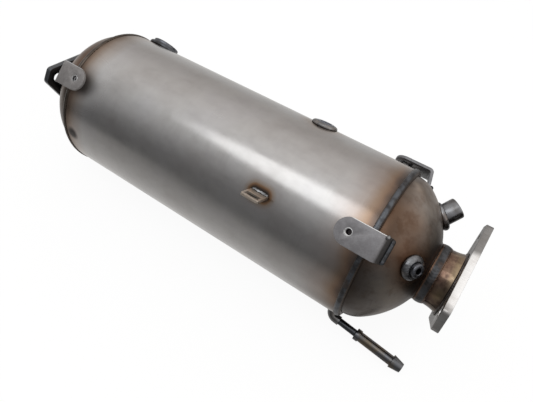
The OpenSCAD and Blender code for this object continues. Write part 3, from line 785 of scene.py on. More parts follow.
@dataclass(frozen=True)
class FlangeSteel(Finish):
    """Plate steel with fine cutting lines along its edge, a lighter tone at its front end and a
    painted highlight on its upper middle.
    """

    slot: Slot = Slot.FLANGE
    dull: Colour = (0.215, 0.210, 0.205)
    # Pale tone of the painted highlight on the flange's upper middle; the tip tone lightens its front
    # end.
    lighter: Colour = (0.72, 0.72, 0.715)
    tip: Colour = (0.36, 0.352, 0.345)
    gloss: float = 0.30
    # Where the painted highlight lies: across the flange, and up from its middle.
    highlight_from: float = -40 * MM
    highlight_to: float = 8 * MM
    highlight_fade: float = 9 * MM
    highlight_rise: Span = (0.0, 6 * MM)
    lines: Layer = Layer(
        (60, 1700, 1700), 2.0, 0.7, ((0.3, grey(0.88)), (0.7, grey(1.04))), rough=0.2)
    cloud: Layer = Layer(
        (55, 55, 55), 3.0, 0.6, ((0.3, (0.74, 0.71, 0.69)), (0.52, CLEAR)), 0.8, 0.1)
    wobble: float = 8 * MM
    relief: Span = (0.08 * MM, 0.4)

    def paint(self, g: Graph) -> None:
        """Write the flange's nodes.

        Args:
            g: the graph.
        """
        y, z = g.position()[1:]
        place = y + g.noise(self.cloud).spread(self.wobble)
        # painted highlight on the upper middle, and the tip tone at the front end
        highlit = g.step(place, self.highlight_from - self.highlight_fade, self.highlight_from)
        highlit = highlit * g.step(place, self.highlight_to + self.highlight_fade, self.highlight_to)
        highlit = highlit * g.step(z, *self.highlight_rise)
        front = g.step(y, self.highlight_from, self.highlight_from - self.highlight_fade)
        plate = g.mix("MIX", highlit, g.mix("MIX", front, self.dull, self.tip), self.lighter)
        g.surface({
            "Base Color": g.layered(plate, self.lines, self.cloud), "Metallic": 1.0,
            "Roughness": g.uneven(self.gloss, self.lines, self.cloud),
            "Normal": g.bump(g.noise(self.lines), *self.relief)})


@dataclass(frozen=True)
class BracketSteel(Finish):
    """Matte grey sheet of the brackets, with painted highlights at a hole and along the upper edge,
    darkened down the leg by smoke stain and painted shade.
    """

    slot: Slot = Slot.BRACKET
    pale: Colour = (0.214, 0.210, 0.217)
    dull: Colour = (0.169, 0.165, 0.171)
    # Tone of the painted highlights at the hole and along the upper edge.
    bright: Colour = (0.72, 0.72, 0.71)
    gloss: float = 0.50
    metallic: float = 0.45
    hole: str = ""
    # Share and tone of the smoke stain and painted shade down the leg.
    leg_stain_and_shade: float = 0.0
    dark_shade: Colour = (0.048, 0.045, 0.043)
    # Painted highlight: a pale ring round the hole.
    ring_r: float = 3.5 * MM
    ring_half: Span = (0.3 * MM, 0.12 * MM)
    ring_share: float = 0.6
    # Painted highlight along the upper edge, this far in from it; the leg is darkened beyond the bend
    # and below the plate.
    edge: Span = (0.6 * MM, 0.3 * MM)
    bend: Span = (4.5 * MM, 3.0 * MM)
    fall: Span = (0.6 * MM, 2.6 * MM)
    wobble: float = 1.2 * MM
    cloud: Layer = Layer((90, 90, 90), 3.0, 0.6)
    cloud_ends: Span = (0.35, 0.65)
    fine: Layer = Layer(
        (700, 700, 700), 3.0, 0.65,
        ((0.3, (0.86, 0.85, 0.85)), (0.55, CLEAR), (0.75, grey(1.1))), rough=0.2)
    relief: Span = (0.06 * MM, 0.35)

    def highlights_and_shade(self, g: Graph, sheet: Wire) -> Wire:
        """Paint highlights at the plate's hole and upper edge, and darken its leg with smoke stain
        and painted shade.

        Args:
            g: the graph.
            sheet: colour of the plain sheet.

        Returns:
            The colour with its painted highlights and darkened leg.
        """
        place, axis = mount(self.hole)
        up = axis.cross(AXIS)
        up = up.normalized() * math.copysign(1.0, up.z)
        spots = [corner.co - place for corner in frame["nodes"][self.hole].data.vertices]
        side, level, end = (max(spot.dot(way) for spot in spots) for way in (up, axis, AXIS))
        wobble = g.noise(self.cloud).spread(self.wobble)
        # painted highlights on the upper edge and round the hole, then smoke stain and painted shade
        # down the leg
        rim = g.step(g.along(place, up), *(side - inset for inset in self.edge))
        ring = g.step(abs(g.off_line(place, axis) + wobble - self.ring_r), *self.ring_half)
        lighter = g.mix("MIX", g.math("MAXIMUM", rim, ring * self.ring_share), sheet, self.bright)
        leg = g.step(g.along(place, AXIS), *(end - inset for inset in self.bend))
        leg = leg * g.step(g.along(place, axis) + wobble, *(level - drop for drop in self.fall))
        return g.mix("MIX", leg * self.leg_stain_and_shade, lighter, self.dark_shade)

    def paint(self, g: Graph) -> None:
        """Write the brackets' nodes.

        Args:
            g: the graph.
        """
        sheet = g.mix("MIX", g.step(g.noise(self.cloud), *self.cloud_ends), self.dull, self.pale)
        sheet = g.layered(sheet, self.fine)
        g.surface({
            "Base Color": self.highlights_and_shade(g, sheet) if self.hole else sheet, "Metallic": self.metallic,
            "Roughness": g.uneven(self.gloss, self.fine),
            "Normal": g.bump(g.noise(self.fine), *self.relief)})


@dataclass(frozen=True)
class TabSteel(Finish):
    """Sheared strip of the shield tab, straw-coloured at its rim, with painted shade inside the rim
    round its slot.
    """

    slot: Slot = Slot.BRACKET
    rim: Colour = (0.46, 0.40, 0.34)
    # Painted shade inside the rim, round the slot: its tone, share and extent.
    dark_shade: Colour = (0.060, 0.055, 0.050)
    inside_shade_share: float = 0.85
    gloss: float = 0.38
    metallic: float = 0.85
    web: Span = (1.4 * MM, 2.6 * MM)
    inside_shade_foot: Span = (0.2 * MM, 1.2 * MM)
    inside_shade_head: Span = (7.6 * MM, 6.6 * MM)
    fine: Layer = Layer(
        (500, 500, 500), 3.0, 0.6, ((0.3, (0.78, 0.76, 0.74)), (0.6, grey(1.05))), rough=0.2)
    relief: Span = (0.06 * MM, 0.35)

    def paint(self, g: Graph) -> None:
        """Write the tab's nodes, with painted shade inside its rim.

        Args:
            g: the graph.
        """
        tab = "shield_tab"
        ends = (half_length(tab) - web for web in self.web)
        # painted shade inside the rim, round the slot
        inside = g.step(abs(g.position()[0] - middle(tab).x), *ends)
        height = g.along(middle(tab), outward(tab))
        inside = inside * g.step(height, *self.inside_shade_head) * g.step(height, *self.inside_shade_foot)
        base = g.mix("MIX", inside * self.inside_shade_share, self.rim, self.dark_shade)
        g.surface({
            "Base Color": g.layered(base, self.fine), "Metallic": self.metallic,
            "Roughness": g.uneven(self.gloss, self.fine),
            "Normal": g.bump(g.noise(self.fine), *self.relief)})


@dataclass(frozen=True)
class TurnedSteel(Finish):
    """Dark turned steel of the bosses, nuts and pipe, with soft stains."""

    slot: Slot = Slot.BOSS
    steel: Colour = (0.190, 0.192, 0.200)
    stain: Colour = (0.115, 0.110, 0.107)
    gloss: float = 0.27
    # A painted glint: the bore round one mount's axis takes the pale tone below.
    bore: str = ""
    bore_r: Span = (2.7 * MM, 2.6 * MM)
    bore_glint: Colour = (0.82, 0.83, 0.86)
    fine: Layer = Layer((800, 800, 800), 3.0, 0.6, rough=0.14)
    cloud: Layer = Layer((70, 70, 70), rough=0.08)
    cloud_ends: Span = (0.62, 0.36)
    relief: Span = (0.04 * MM, 0.3)

    def paint(self, g: Graph) -> None:
        """Write the turned steel's nodes, with a painted glint on the bore of one mount.

        Args:
            g: the graph.
        """
        base = g.mix("MIX", g.step(g.noise(self.cloud), *self.cloud_ends), self.steel, self.stain)
        # painted glint on the bore
        if self.bore:
            inside = g.step(g.off_line(*mount(self.bore)), *self.bore_r)
            base = g.mix("MIX", inside, base, self.bore_glint)
        g.surface({
            "Base Color": base, "Metallic": 1.0,
            "Roughness": g.uneven(self.gloss, self.fine, self.cloud),
            "Normal": g.bump(g.noise(self.fine), *self.relief)})


class Plugging(Enum):
    """Which channel ends of a brick are closed."""

    OPEN = "open"
    CHECKER = "checker"


@dataclass(frozen=True)
class Honeycomb(Finish):
    """Ceramic brick of fine square channels, seen at its ends."""

    slot: Slot = Slot.OXIDATION
    wall: Colour = (0.42, 0.36, 0.28)
    # Dark tone of the open channels: painted shade for their depth.
    channel: Colour = (0.05, 0.045, 0.04)
    pitch: float = 1.27 * MM
    web: float = 0.17
    plugging: Plugging = Plugging.OPEN
    gloss: float = 0.9
    ash: Layer = Layer(
        (60, 60, 60), 3.0, tint=((0.35, (0.7, 0.68, 0.66)), (0.6, CLEAR)), share=0.8)
    relief: Span = (0.4 * MM, 0.6)

    def paint(self, g: Graph) -> None:
        """Write the brick's nodes.

        Args:
            g: the graph.
        """
        cells = [value / self.pitch for value in g.position()[1:]]
        across = [abs(g.math("FRACT", cell) - 0.5) for cell in cells]
        hole = g.step(g.math("MAXIMUM", *across), 0.5 - self.web / 2, 0.5 - self.web)
        if self.plugging is Plugging.CHECKER:
            count = g.math("FLOOR", cells[0]) + g.math("FLOOR", cells[1])
            hole = hole * abs(g.math("MODULO", count, 2.0))
        g.surface({
            "Base Color": g.mix("MIX", hole, g.layered(self.wall, self.ash), self.channel),
            "Roughness": self.gloss, "Normal": g.bump(1.0 - hole, *self.relief)})


@dataclass(frozen=True)
class Fibre(Finish):
    """Soft mineral fibre or cement round the bricks."""

    slot: Slot = Slot.MAT
    pale: Colour = (0.62, 0.58, 0.50)
    shade: Colour = (0.40, 0.36, 0.30)
    gloss: float = 0.95
    strand: Layer = Layer((300, 900, 900), 4.0, 0.7)
    strand_ends: Span = (0.35, 0.65)
    relief: Span = (0.3 * MM, 0.6)

    def paint(self, g: Graph) -> None:
        """Write the fibre's nodes.

        Args:
            g: the graph.
        """
        strand = g.noise(self.strand)
        base = g.mix("MIX", g.step(strand, *self.strand_ends), self.shade, self.pale)
        g.surface({
            "Base Color": base, "Roughness": self.gloss, "Normal": g.bump(strand, *self.relief)})


class Bench:
    """Hand work on a piece, by Blender's operators."""

    FLAT = math.radians(0.6)
    SHARP = math.radians(38)
    SMOOTH = math.radians(32)

    @staticmethod
    def pick(piece: bpy.types.Object) -> None:
        """Select a piece alone and make it the active one.

        Args:
            piece: the piece.
        """
        bpy.ops.object.select_all(action="DESELECT")
        piece.select_set(True)
        bpy.context.view_layer.objects.active = piece

    @staticmethod
    def copy_node(node: str, name: str, merge: float = 0.002 * MM) -> bpy.types.Object:
        """Copy a CAD node as a new piece with a mesh of its own.

        Args:
            node: name of the CAD node.
            name: name of the new piece.
            merge: distance within which its corners become one.

        Returns:
            The new piece, with its flat faces whole again.
        """
        piece = bpy.data.objects.new(name, frame["nodes"][node].data.copy())
        bpy.context.scene.collection.objects.link(piece)
        Bench.pick(piece)
        bpy.ops.mesh.customdata_custom_splitnormals_clear()
        bpy.ops.object.mode_set(mode="EDIT")
        bpy.ops.mesh.select_all(action="SELECT")
        bpy.ops.mesh.remove_doubles(threshold=merge)
        bpy.ops.mesh.dissolve_limited(angle_limit=Bench.FLAT)
        bpy.ops.object.mode_set(mode="OBJECT")
        return piece

    @staticmethod
    def modify(piece: bpy.types.Object, kind: str, settings: Mapping[str, Any]) -> None:
        """Add a modifier and apply it.

        Args:
            piece: the piece.
            kind: the modifier's type.
            settings: its settings.
        """
        Bench.pick(piece)
        made = piece.modifiers.new(kind.lower(), kind)
        for key, value in settings.items():
            setattr(made, key, value)
        bpy.ops.object.modifier_apply(modifier=made.name)

    @staticmethod
    def soften(piece: bpy.types.Object, width: float, steps: int = 2) -> None:
        """Round a piece's sharp edges.

        Args:
            piece: the piece.
            width: width of the rounding.
            steps: faces across it.
        """
        Bench.modify(piece, "BEVEL", {
            "width": width, "segments": steps, "limit_method": "ANGLE", "angle_limit": Bench.SHARP,
            "use_clamp_overlap": False, "miter_outer": "MITER_ARC"})
        bpy.ops.object.shade_smooth_by_angle(angle=Bench.SMOOTH)

    @staticmethod
    def settle(name: str) -> bpy.types.Object:
        """Name the primitive just added and put its place into its mesh.

        Args:
            name: the piece's name.

        Returns:
            The piece.
        """
        piece = bpy.context.object
        piece.name = name
        bpy.ops.object.transform_apply(location=True, rotation=True, scale=True)
        return piece

    @staticmethod
    def dress(piece: bpy.types.Object, finish: Finish, *nodes: str) -> None:
        """Give a new piece its finish, its body and the nodes that it stands for.

        Args:
            piece: the piece.
            finish: its finish.
            nodes: CAD nodes that it replaces.
        """
        piece.data.materials.clear()
        piece.data.materials.append(finish.material())
        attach(piece, BODY)
        if nodes:
            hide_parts(*nodes)
        stands_for = ", ".join(nodes) or "nothing in the solids"
        LOG.info("%s: %d faces, for %s", piece.name, len(piece.data.polygons), stands_for)

    @staticmethod
    def dress_node(node: str, finish: Finish) -> None:
        """Give a CAD node that stays its finish.

        Args:
            node: name of the CAD node.
            finish: its finish.
        """
        for held in frame["nodes"][node].material_slots:
            held.material = finish.material()
        LOG.info("%s: dressed as it is", node)


@dataclass
class Bead:
    """A weld bead with the crescents that the torch leaves."""

    node: str
    centre: Vector
    axis: Vector
    radius: float
    finish: WeldMetal = WeldMetal()
    pitch: float = 2.4 * MM
    depth: float = 0.25 * MM
    lump: float = 0.45
    crescent: float = 120.0
    voxel: float = 0.5 * MM
    wobble: float = 0.35
    wobble_cells: float = 190
    lump_cells: float = 330
    lump_shift: Point = (7.0, 3.0, 1.0)

    def lift(self, spot: Vector) -> float:
        """Height of the bead's ripple.

        Args:
            spot: a point of the bead.

        Returns:
            From 0 in a hollow to 1 on a crest.
        """
        away = spot - self.centre
        across = away.dot(self.axis)
        side = self.axis.orthogonal().normalized()
        other = self.axis.cross(side)
        run = math.atan2(away.dot(other), away.dot(side)) * self.radius
        wobble = noise.noise(spot * self.wobble_cells) * self.wobble
        phase = (run + self.crescent * across * across) / self.pitch + wobble
        ripple = 0.5 + 0.5 * math.cos(2 * math.pi * phase)
        lumps = 0.5 + 0.5 * noise.noise(spot * self.lump_cells + Vector(self.lump_shift))
        return (1 - self.lump) * ripple + self.lump * lumps

    def build(self) -> bpy.types.Object:
        """Model the bead from its CAD solid.

        Returns:
            The rippled bead.
        """
        piece = Bench.copy_node(self.node, f"{self.node}_bead")
        Bench.modify(piece, "REMESH", {
            "mode": "VOXEL", "voxel_size": self.voxel, "use_smooth_shade": True})
        group = piece.vertex_groups.new(name="hollow")
        for corner in piece.data.vertices:
            group.add([corner.index], 1 - self.lift(corner.co), "REPLACE")
        Bench.modify(piece, "DISPLACE", {
            "vertex_group": group.name, "mid_level": 0.0, "strength": -self.depth})
        piece.vertex_groups.clear()
        Bench.dress(piece, self.finish, self.node)
        return piece


@dataclass
class Plate:
    """A cut or bent plate, or a turned piece, with its edges broken."""

    node: str
    finish: Finish
    edge: float = 0.45 * MM
    merge: float = 0.03 * MM

    def build(self) -> bpy.types.Object:
        """Model the piece from its CAD solid.

        Returns:
            The piece with soft edges.
        """
        piece = Bench.copy_node(self.node, f"{self.node}_piece", self.merge)
        Bench.soften(piece, self.edge)
        Bench.dress(piece, self.finish, self.node)
        return piece


@dataclass
class Canister:
    """Can, domes and neck with the seams that close them."""

    # The far dome takes milder painted shade and no lightening of its back.
    far_dome: DomeSteel = DomeSteel(
        steel=(0.300, 0.266, 0.240), seam_tint=(0.62, 0.54, 0.48), dark_shade_tone=grey(0.9),
        lower_shade_tone=(0.55, 0.53, 0.52), back_lift=CLEAR)
    seam: WeldMetal = WeldMetal(ring="inlet_seam_weld")
    far_seam: WeldMetal = WeldMetal(
        dark=(0.050, 0.041, 0.034), light=(0.082, 0.069, 0.059), scale=(0.078, 0.059, 0.046),
        ring="outlet_seam_weld")
    neck_ring: WeldMetal = WeldMetal(
        dark=(0.030, 0.029, 0.029), light=(0.066, 0.068, 0.073), scale=(0.150, 0.086, 0.055),
        rust=0.15, ring="inlet_neck_weld")
    seam_pitch: float = 2.2 * MM
    seam_depth: float = 0.16 * MM
    neck_pitch: float = 3.0 * MM
    neck_depth: float = 0.12 * MM

    def build(self) -> None:
        """Dress the shells and weld their seams."""
        shells = {
            "can_shell": CanSteel(), "inlet_dome": DomeSteel(), "outlet_dome": self.far_dome,
            "inlet_neck": NeckSteel()}
        for node, finish in shells.items():
            Bench.dress_node(node, finish)
        ripples = (
            (self.seam, self.seam_pitch, self.seam_depth),
            (self.far_seam, self.seam_pitch, self.seam_depth),
            (self.neck_ring, self.neck_pitch, self.neck_depth))
        for finish, pitch, depth in ripples:
            weld = finish.ring
            Bead(weld, middle(weld), AXIS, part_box(weld)[1][2], finish, pitch, depth).build()


@dataclass
class EndFlange:
    """Three-bolt flange and the weld behind it."""

    end: str
    finish: FlangeSteel
    edge: float = 0.5 * MM
    scaled: WeldMetal = WeldMetal(
        dark=(0.060, 0.050, 0.044), light=(0.100, 0.088, 0.080), scale=(0.115, 0.080, 0.058))
    ripple: float = 0.15 * MM

    def build(self) -> None:
        """Model the plate and its weld."""
        Plate(f"{self.end}_flange", self.finish, self.edge).build()
        weld = f"{self.end}_flange_weld"
        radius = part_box(weld)[1][2]
        Bead(weld, middle(weld), AXIS, radius, self.scaled, depth=self.ripple).build()


@dataclass
class Brackets:
    """Bent fixing brackets with their weld nuts and welds."""

    near: BracketSteel = BracketSteel(hole=Bracket.NEAR.value, leg_stain_and_shade=0.95)
    rear: BracketSteel = BracketSteel(
        pale=(0.190, 0.190, 0.198), dull=(0.130, 0.130, 0.136), gloss=0.40)
    far: BracketSteel = BracketSteel(
        pale=(0.224, 0.214, 0.210), dull=(0.178, 0.168, 0.164), bright=(0.42, 0.42, 0.43),
        hole=Bracket.FAR.value)
    # The far nut's bore carries a painted glint.
    nut: TurnedSteel = TurnedSteel(
        steel=(0.440, 0.430, 0.425), stain=(0.330, 0.320, 0.315), bore=Bracket.FAR.value)
    nut_edge: float = 0.3 * MM
    # Pale tones of the nut collars: a painted glint in each bracket's hole.
    collar_glint: float = 0.66
    far_collar_glint: float = 0.80
    stain_share: float = 0.7
    collar_sides: int = 48
    collar_r: float = 3.42 * MM
    collar_wall: float = 0.62 * MM
    collar_h: float = 1.8 * MM
    collar_sunk: float = 0.25 * MM
    collar_edge: float = 0.2 * MM
    bend: float = 5 * MM
    drop_r: float = 1.7 * MM
    drop_squash: Point = (1.0, 1.25, 0.9)
    drop_faces: tuple[int, int] = (32, 20)
    drop_metal: WeldMetal = WeldMetal(dark=grey(0.14), light=grey(0.34), gloss=0.2)
    weld_r: float = 70 * MM
    weld_ripple: float = 0.12 * MM
    weld_lump: float = 0.7
    weld_voxel: float = 0.4 * MM

    def collar(self, bracket: Bracket) -> None:
        """Turn the nut's bright collar, which stands in the bracket's hole; its brightness is a
        painted glint.

        Args:
            bracket: which bracket.
        """
        name = bracket.value
        place, axis = mount(name)
        level = max((corner.co - place).dot(axis) for corner in frame["nodes"][name].data.vertices)
        bpy.ops.object.select_all(action="DESELECT")
        bpy.ops.mesh.primitive_cylinder_add(
            vertices=self.collar_sides, radius=self.collar_r, depth=self.collar_h,
            end_fill_type="NOTHING",
            location=place + axis * (level - self.collar_sunk - self.collar_h / 2),
            rotation=axis.to_track_quat("Z", "Y").to_euler())
        piece = Bench.settle(f"{name}_nut_collar")
        Bench.modify(piece, "SOLIDIFY", {"thickness": self.collar_wall, "offset": -1.0})
        Bench.soften(piece, self.collar_edge)
        # painted glint: the collar's pale tone
        collar_glint = self.far_collar_glint if bracket is Bracket.FAR else self.collar_glint
        Bench.dress(piece, TurnedSteel(steel=grey(collar_glint), stain=grey(self.stain_share * collar_glint)))

    def drop(self, name: str) -> None:
        """Leave a drop of weld metal on the upper corner of a bracket's bend.

        Args:
            name: the bracket's name.
        """
        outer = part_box(name)[1][0] - self.bend
        bent = [v.co for v in frame["nodes"][name].data.vertices if v.co.x > outer]
        corner = max(bent, key=lambda spot: spot.z)
        bpy.ops.object.select_all(action="DESELECT")
        bpy.ops.mesh.primitive_uv_sphere_add(
            segments=self.drop_faces[0], ring_count=self.drop_faces[1], radius=self.drop_r,
            location=corner + Vector((self.drop_r, 0.0, -self.drop_r)), scale=self.drop_squash)
        piece = Bench.settle(f"{name}_weld_drop")
        bpy.ops.object.shade_smooth()
        Bench.dress(piece, self.drop_metal)

    def build(self) -> None:
        """Model the brackets, the nuts and the beads at their legs."""
        sheets = {Bracket.NEAR: self.near, Bracket.REAR: self.rear, Bracket.FAR: self.far}
        for bracket, finish in sheets.items():
            Plate(bracket.value, finish).build()
            self.collar(bracket)
        self.drop(Bracket.NEAR.value)
        Plate("bracket_weld_nuts", self.nut, self.nut_edge).build()
        Bead("bracket_welds", Vector(), AXIS, self.weld_r, depth=self.weld_ripple,
             lump=self.weld_lump, crescent=0.0, voxel=self.weld_voxel).build()


@dataclass
class ShieldTab:
    """Slotted tab for the heat shield and its two beads."""

    edge: float = 0.3 * MM
    silver: WeldMetal = WeldMetal(
        dark=(0.05, 0.05, 0.053), light=(0.32, 0.33, 0.34), scale=(0.18, 0.15, 0.12), gloss=0.28)
    bead_r: float = 9 * MM
    bead_depth: float = 0.9 * MM
    bead_lump: float = 0.9
    bead_voxel: float = 0.35 * MM

    def build(self) -> None:
        """Model the tab and its beads."""
        Plate("shield_tab", TabSteel(), self.edge).build()
        weld = "tab_welds"
        Bead(weld, middle(weld), outward(weld), self.bead_r, self.silver, depth=self.bead_depth,
             lump=self.bead_lump, voxel=self.bead_voxel).build()


@dataclass
class SensorBoss:
    """Turned boss for a sensor or a tapping, with its ring of weld."""

    boss: str
    weld: str
    collar: WeldMetal = WeldMetal()
    finish: TurnedSteel = TurnedSteel()
    edge: float = 0.5 * MM
    merge: float = 0.01 * MM
    ripple: float = 0.18 * MM
    lump: float = 0.7
    voxel: float = 0.45 * MM

    def build(self) -> None:
        """Model the boss and its weld."""
        Plate(self.boss, self.finish, self.edge, self.merge).build()
        out = (middle(self.boss) - middle(self.weld)).normalized()
        Bead(self.weld, middle(self.weld), out, half_length(self.weld), self.collar,
             depth=self.ripple, lump=self.lump, voxel=self.voxel).build()


@dataclass
class Bosses:
    """Two bosses on the can, and the temperature boss and pressure tap on the inlet dome."""

    dim: TurnedSteel = TurnedSteel(steel=(0.100, 0.104, 0.116), stain=(0.060, 0.062, 0.068))
    blued: TurnedSteel = TurnedSteel(steel=(0.112, 0.122, 0.146), stain=(0.080, 0.086, 0.102))
    merged: WeldMetal = WeldMetal(
        dark=(0.140, 0.138, 0.138), light=(0.235, 0.230, 0.228), scale=(0.190, 0.165, 0.145))
    bright: WeldMetal = WeldMetal(
        dark=(0.090, 0.090, 0.093), light=(0.230, 0.235, 0.245), scale=(0.13, 0.10, 0.08),
        gloss=0.25)
    slick: WeldMetal = WeldMetal(
        dark=(0.055, 0.055, 0.058), light=(0.160, 0.164, 0.171), scale=(0.10, 0.08, 0.065),
        gloss=0.2)

    def build(self) -> None:
        """Model the four bosses."""
        SensorBoss("gap_sensor_boss", "gap_boss_weld", self.merged, self.blued).build()
        SensorBoss("outlet_sensor_boss", "outlet_boss_weld", finish=self.dim).build()
        SensorBoss("temperature_boss", "temperature_boss_weld", self.bright).build()
        SensorBoss("pressure_tap_boss", "pressure_tap_weld", self.slick, self.dim).build()


@dataclass
class PressurePipe:
    """Bent pressure pipe with its hose nipple."""

    elbow: TurnedSteel = TurnedSteel(Slot.PIPE, (0.155, 0.154, 0.156), (0.095, 0.088, 0.082))
    tube: TurnedSteel = TurnedSteel(Slot.PIPE, (0.055, 0.058, 0.064), (0.035, 0.034, 0.033))
    nipple: TurnedSteel = TurnedSteel(Slot.PIPE, (0.102, 0.105, 0.112), (0.125, 0.104, 0.078))
    edge: float = 0.3 * MM
    merge: float = 0.01 * MM
    bead_r: float = 5 * MM
    bead_lump: float = 0.7
    bead_voxel: float = 0.35 * MM

    def build(self) -> None:
        """Model the pipe's pieces and the weld at its foot."""
        pieces = {
            "pressure_elbow": self.elbow, "pressure_tube": self.tube, "hose_nipple": self.nipple}
        for name, finish in pieces.items():
            Plate(name, finish, self.edge, self.merge).build()
        weld = "elbow_weld"
        Bead(weld, middle(weld), outward(weld), self.bead_r, lump=self.bead_lump,
             voxel=self.bead_voxel).build()


@dataclass
class Bricks:
    """Ceramic bricks, their cement and their mats."""

    silicon: Honeycomb = Honeycomb(
        Slot.FILTER, (0.16, 0.16, 0.155), (0.02, 0.02, 0.02), 1.5 * MM, 0.2, Plugging.CHECKER)
    cement: Fibre = Fibre(Slot.CEMENT, (0.30, 0.29, 0.27), (0.2, 0.19, 0.18))

    def build(self) -> None:
        """Dress what is inside the can."""
        inside = {
            "oxidation_brick": Honeycomb(), "filter_segments": self.silicon,
            "filter_cement": self.cement, "oxidation_mat": Fibre(), "filter_mat": Fibre()}
        for node, finish in inside.items():
            Bench.dress_node(node, finish)


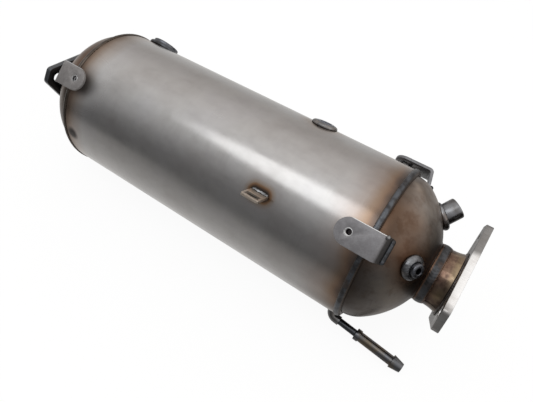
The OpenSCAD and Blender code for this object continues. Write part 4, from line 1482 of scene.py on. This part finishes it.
@dataclass
class Studio:
    """White floor, overhead softbox, a sky of greys and the camera."""

    camera_at: Point = (-0.0372, -0.2452, 0.3878)
    looks_along: Point = (-0.3325, 0.4728, -0.8160)
    focal_px: float = 470.0
    image_w: float = 533.0
    sensor: float = 36.0
    clip_near: float = 0.01
    floor_half: float = 30.0
    floor_white: Colour = grey(0.95)
    floor_glow: float = 0.93
    # The floor's glow seen in the metal: a painted pool of light that falls off away from the can.
    pool_reach: float = 1.0
    pool_end: float = -0.155
    pool_fall: float = 2.4
    far_ends: Span = (-0.30, -0.95)
    far_lift: float = 0.45
    pool: Stops = (
        (0.05, (0.74, 0.728, 0.716)), (0.11, (0.72, 0.708, 0.696)), (0.16, (0.61, 0.60, 0.588)),
        (0.25, (0.50, 0.49, 0.482)), (0.5, (0.34, 0.335, 0.33)), (1.0, grey(0.22)))
    sky: Stops = (
        (0.0, (0.215, 0.214, 0.216)), (0.12, (0.280, 0.278, 0.282)), (0.2, (0.42, 0.418, 0.423)),
        (0.3, (0.72, 0.718, 0.724)), (0.4, (0.95, 0.948, 0.948)), (0.55, (1.26, 1.24, 1.225)),
        (0.66, (1.15, 1.115, 1.09)), (0.75, (1.02, 0.98, 0.955)), (0.84, (0.86, 0.82, 0.795)),
        (0.92, (0.74, 0.705, 0.68)), (1.0, (0.72, 0.69, 0.665)))
    sky_level: float = 1.12
    sky_lean: float = 0.30
    box_from: Point = (-0.088, -0.232, 0.95)
    box_far: float = 2.0
    box_size: Span = (1.85, 0.88)
    box_watts: float = 6.3
    box_tone: Colour = (0.965, 0.985, 1.0)

    def build(self) -> None:
        """Set the floor, the light and the camera."""
        self.lay_floor()
        self.light_sky()
        self.hang_softbox()
        self.place_camera()
        bpy.context.scene.view_settings.view_transform = "Standard"

    def mirrored_pool(self, g: Graph) -> Wire:
        """Glow of the floor where the metal mirrors it, a painted pool of light that is darker away
        from the can.

        Args:
            g: the floor's graph.

        Returns:
            The tone.
        """
        x, y = g.position()[:2]
        front = g.math("MINIMUM", y, 0.0)
        beyond = g.math("MAXIMUM", x - self.pool_end, 0.0) * self.pool_fall
        away = g.math("SQRT", front * front + beyond * beyond) / self.pool_reach
        return g.ramp(away * (1.0 - g.step(x, *self.far_ends) * self.far_lift), self.pool)

    def lay_floor(self) -> None:
        """Lay a white floor that keeps part of the shadow."""
        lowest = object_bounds()[0][2]
        bpy.ops.object.select_all(action="DESELECT")
        bpy.ops.mesh.primitive_plane_add(size=2 * self.floor_half, location=(0.0, 0.0, lowest))
        floor = bpy.context.object
        floor.name = "floor"
        paint = bpy.data.materials.new("floor_white")
        paint.use_nodes = True
        g = Graph(paint.node_tree)
        path = g.node("ShaderNodeLightPath")
        mirrored = g.math("MAXIMUM", Wire(g, path.outputs["Is Glossy Ray"]),
                          Wire(g, path.outputs["Is Transmission Ray"]))
        straight = Wire(g, path.outputs["Is Camera Ray"]) * self.floor_glow
        tone = g.mix("MIX", mirrored, CLEAR, self.mirrored_pool(g))
        matte = g.node("ShaderNodeBsdfDiffuse", None, {"Color": (*self.floor_white, 1.0)})
        glow = g.node("ShaderNodeEmission", None, {"Color": tone, "Strength": 1.0})
        both = g.node("ShaderNodeMixShader", None, {
            0: g.math("MAXIMUM", straight, mirrored), 1: Wire(g, matte.outputs[0]),
            2: Wire(g, glow.outputs[0])})
        g.node("ShaderNodeOutputMaterial", None, {0: Wire(g, both.outputs[0])})
        floor.data.materials.append(paint)
        floor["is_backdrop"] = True

    def light_sky(self) -> None:
        """Light from all round, dark in front and bright overhead, on a background of white."""
        world = bpy.data.worlds.new("studio")
        bpy.context.scene.world = world
        world.use_nodes = True
        g = Graph(world.node_tree)
        x, y, z = g.split(Wire(g, g.node("ShaderNodeTexCoord").outputs["Generated"]))
        turn = g.turn(y, g.math("MAXIMUM", z, 0.0)) / math.pi
        path = g.node("ShaderNodeLightPath")
        straight = g.math("MAXIMUM", Wire(g, path.outputs["Is Camera Ray"]),
                          Wire(g, path.outputs["Is Transmission Ray"]))
        level = (1.0 - straight) * (self.sky_level + x * self.sky_lean) + straight
        glow = g.node("ShaderNodeBackground", None, {
            "Color": g.mix("MIX", straight, g.ramp(turn, self.sky), CLEAR), "Strength": level})
        g.node("ShaderNodeOutputWorld", None, {0: Wire(g, glow.outputs[0])})

    def hang_softbox(self) -> None:
        """Hang the softbox over the front of the can, with its length along it."""
        lamp = bpy.data.lights.new("softbox", "AREA")
        lamp.shape = "ELLIPSE"
        lamp.size, lamp.size_y = self.box_size
        lamp.energy = self.box_watts
        lamp.color = self.box_tone
        hung = bpy.data.objects.new("softbox", lamp)
        bpy.context.scene.collection.objects.link(hung)
        aim = Vector(self.box_from).normalized()
        hung.location = middle("can_shell") + aim * self.box_far
        along = (AXIS - aim * aim.dot(AXIS)).normalized()
        hung.rotation_euler = Matrix((along, aim.cross(along), aim)).transposed().to_euler()

    def place_camera(self) -> None:
        """Put the camera where the photograph was taken from."""
        lens = bpy.data.cameras.new("camera")
        lens.sensor_width = self.sensor
        lens.lens = self.sensor * self.focal_px / self.image_w
        lens.clip_start = self.clip_near
        camera = bpy.data.objects.new("camera", lens)
        bpy.context.scene.collection.objects.link(camera)
        camera.location = self.camera_at
        camera.rotation_euler = Vector(self.looks_along).to_track_quat("-Z", "Y").to_euler()
        bpy.context.scene.camera = camera


def main() -> None:
    """Build and dress the filter, piece by piece, and set the studio round it."""
    logging.basicConfig(level=logging.INFO, format="%(name)s: %(message)s")
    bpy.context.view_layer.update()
    Canister().build()
    EndFlange("inlet", FlangeSteel()).build()
    # The outlet flange lies in shade: this one dark tone all over it is painted shade.
    dark_shade = (0.095, 0.100, 0.108)
    EndFlange("outlet", FlangeSteel(dull=dark_shade, lighter=dark_shade, tip=dark_shade)).build()
    Brackets().build()
    ShieldTab().build()
    Bosses().build()
    PressurePipe().build()
    Bricks().build()
    Studio().build()


if __name__ == "__main__":
    main()
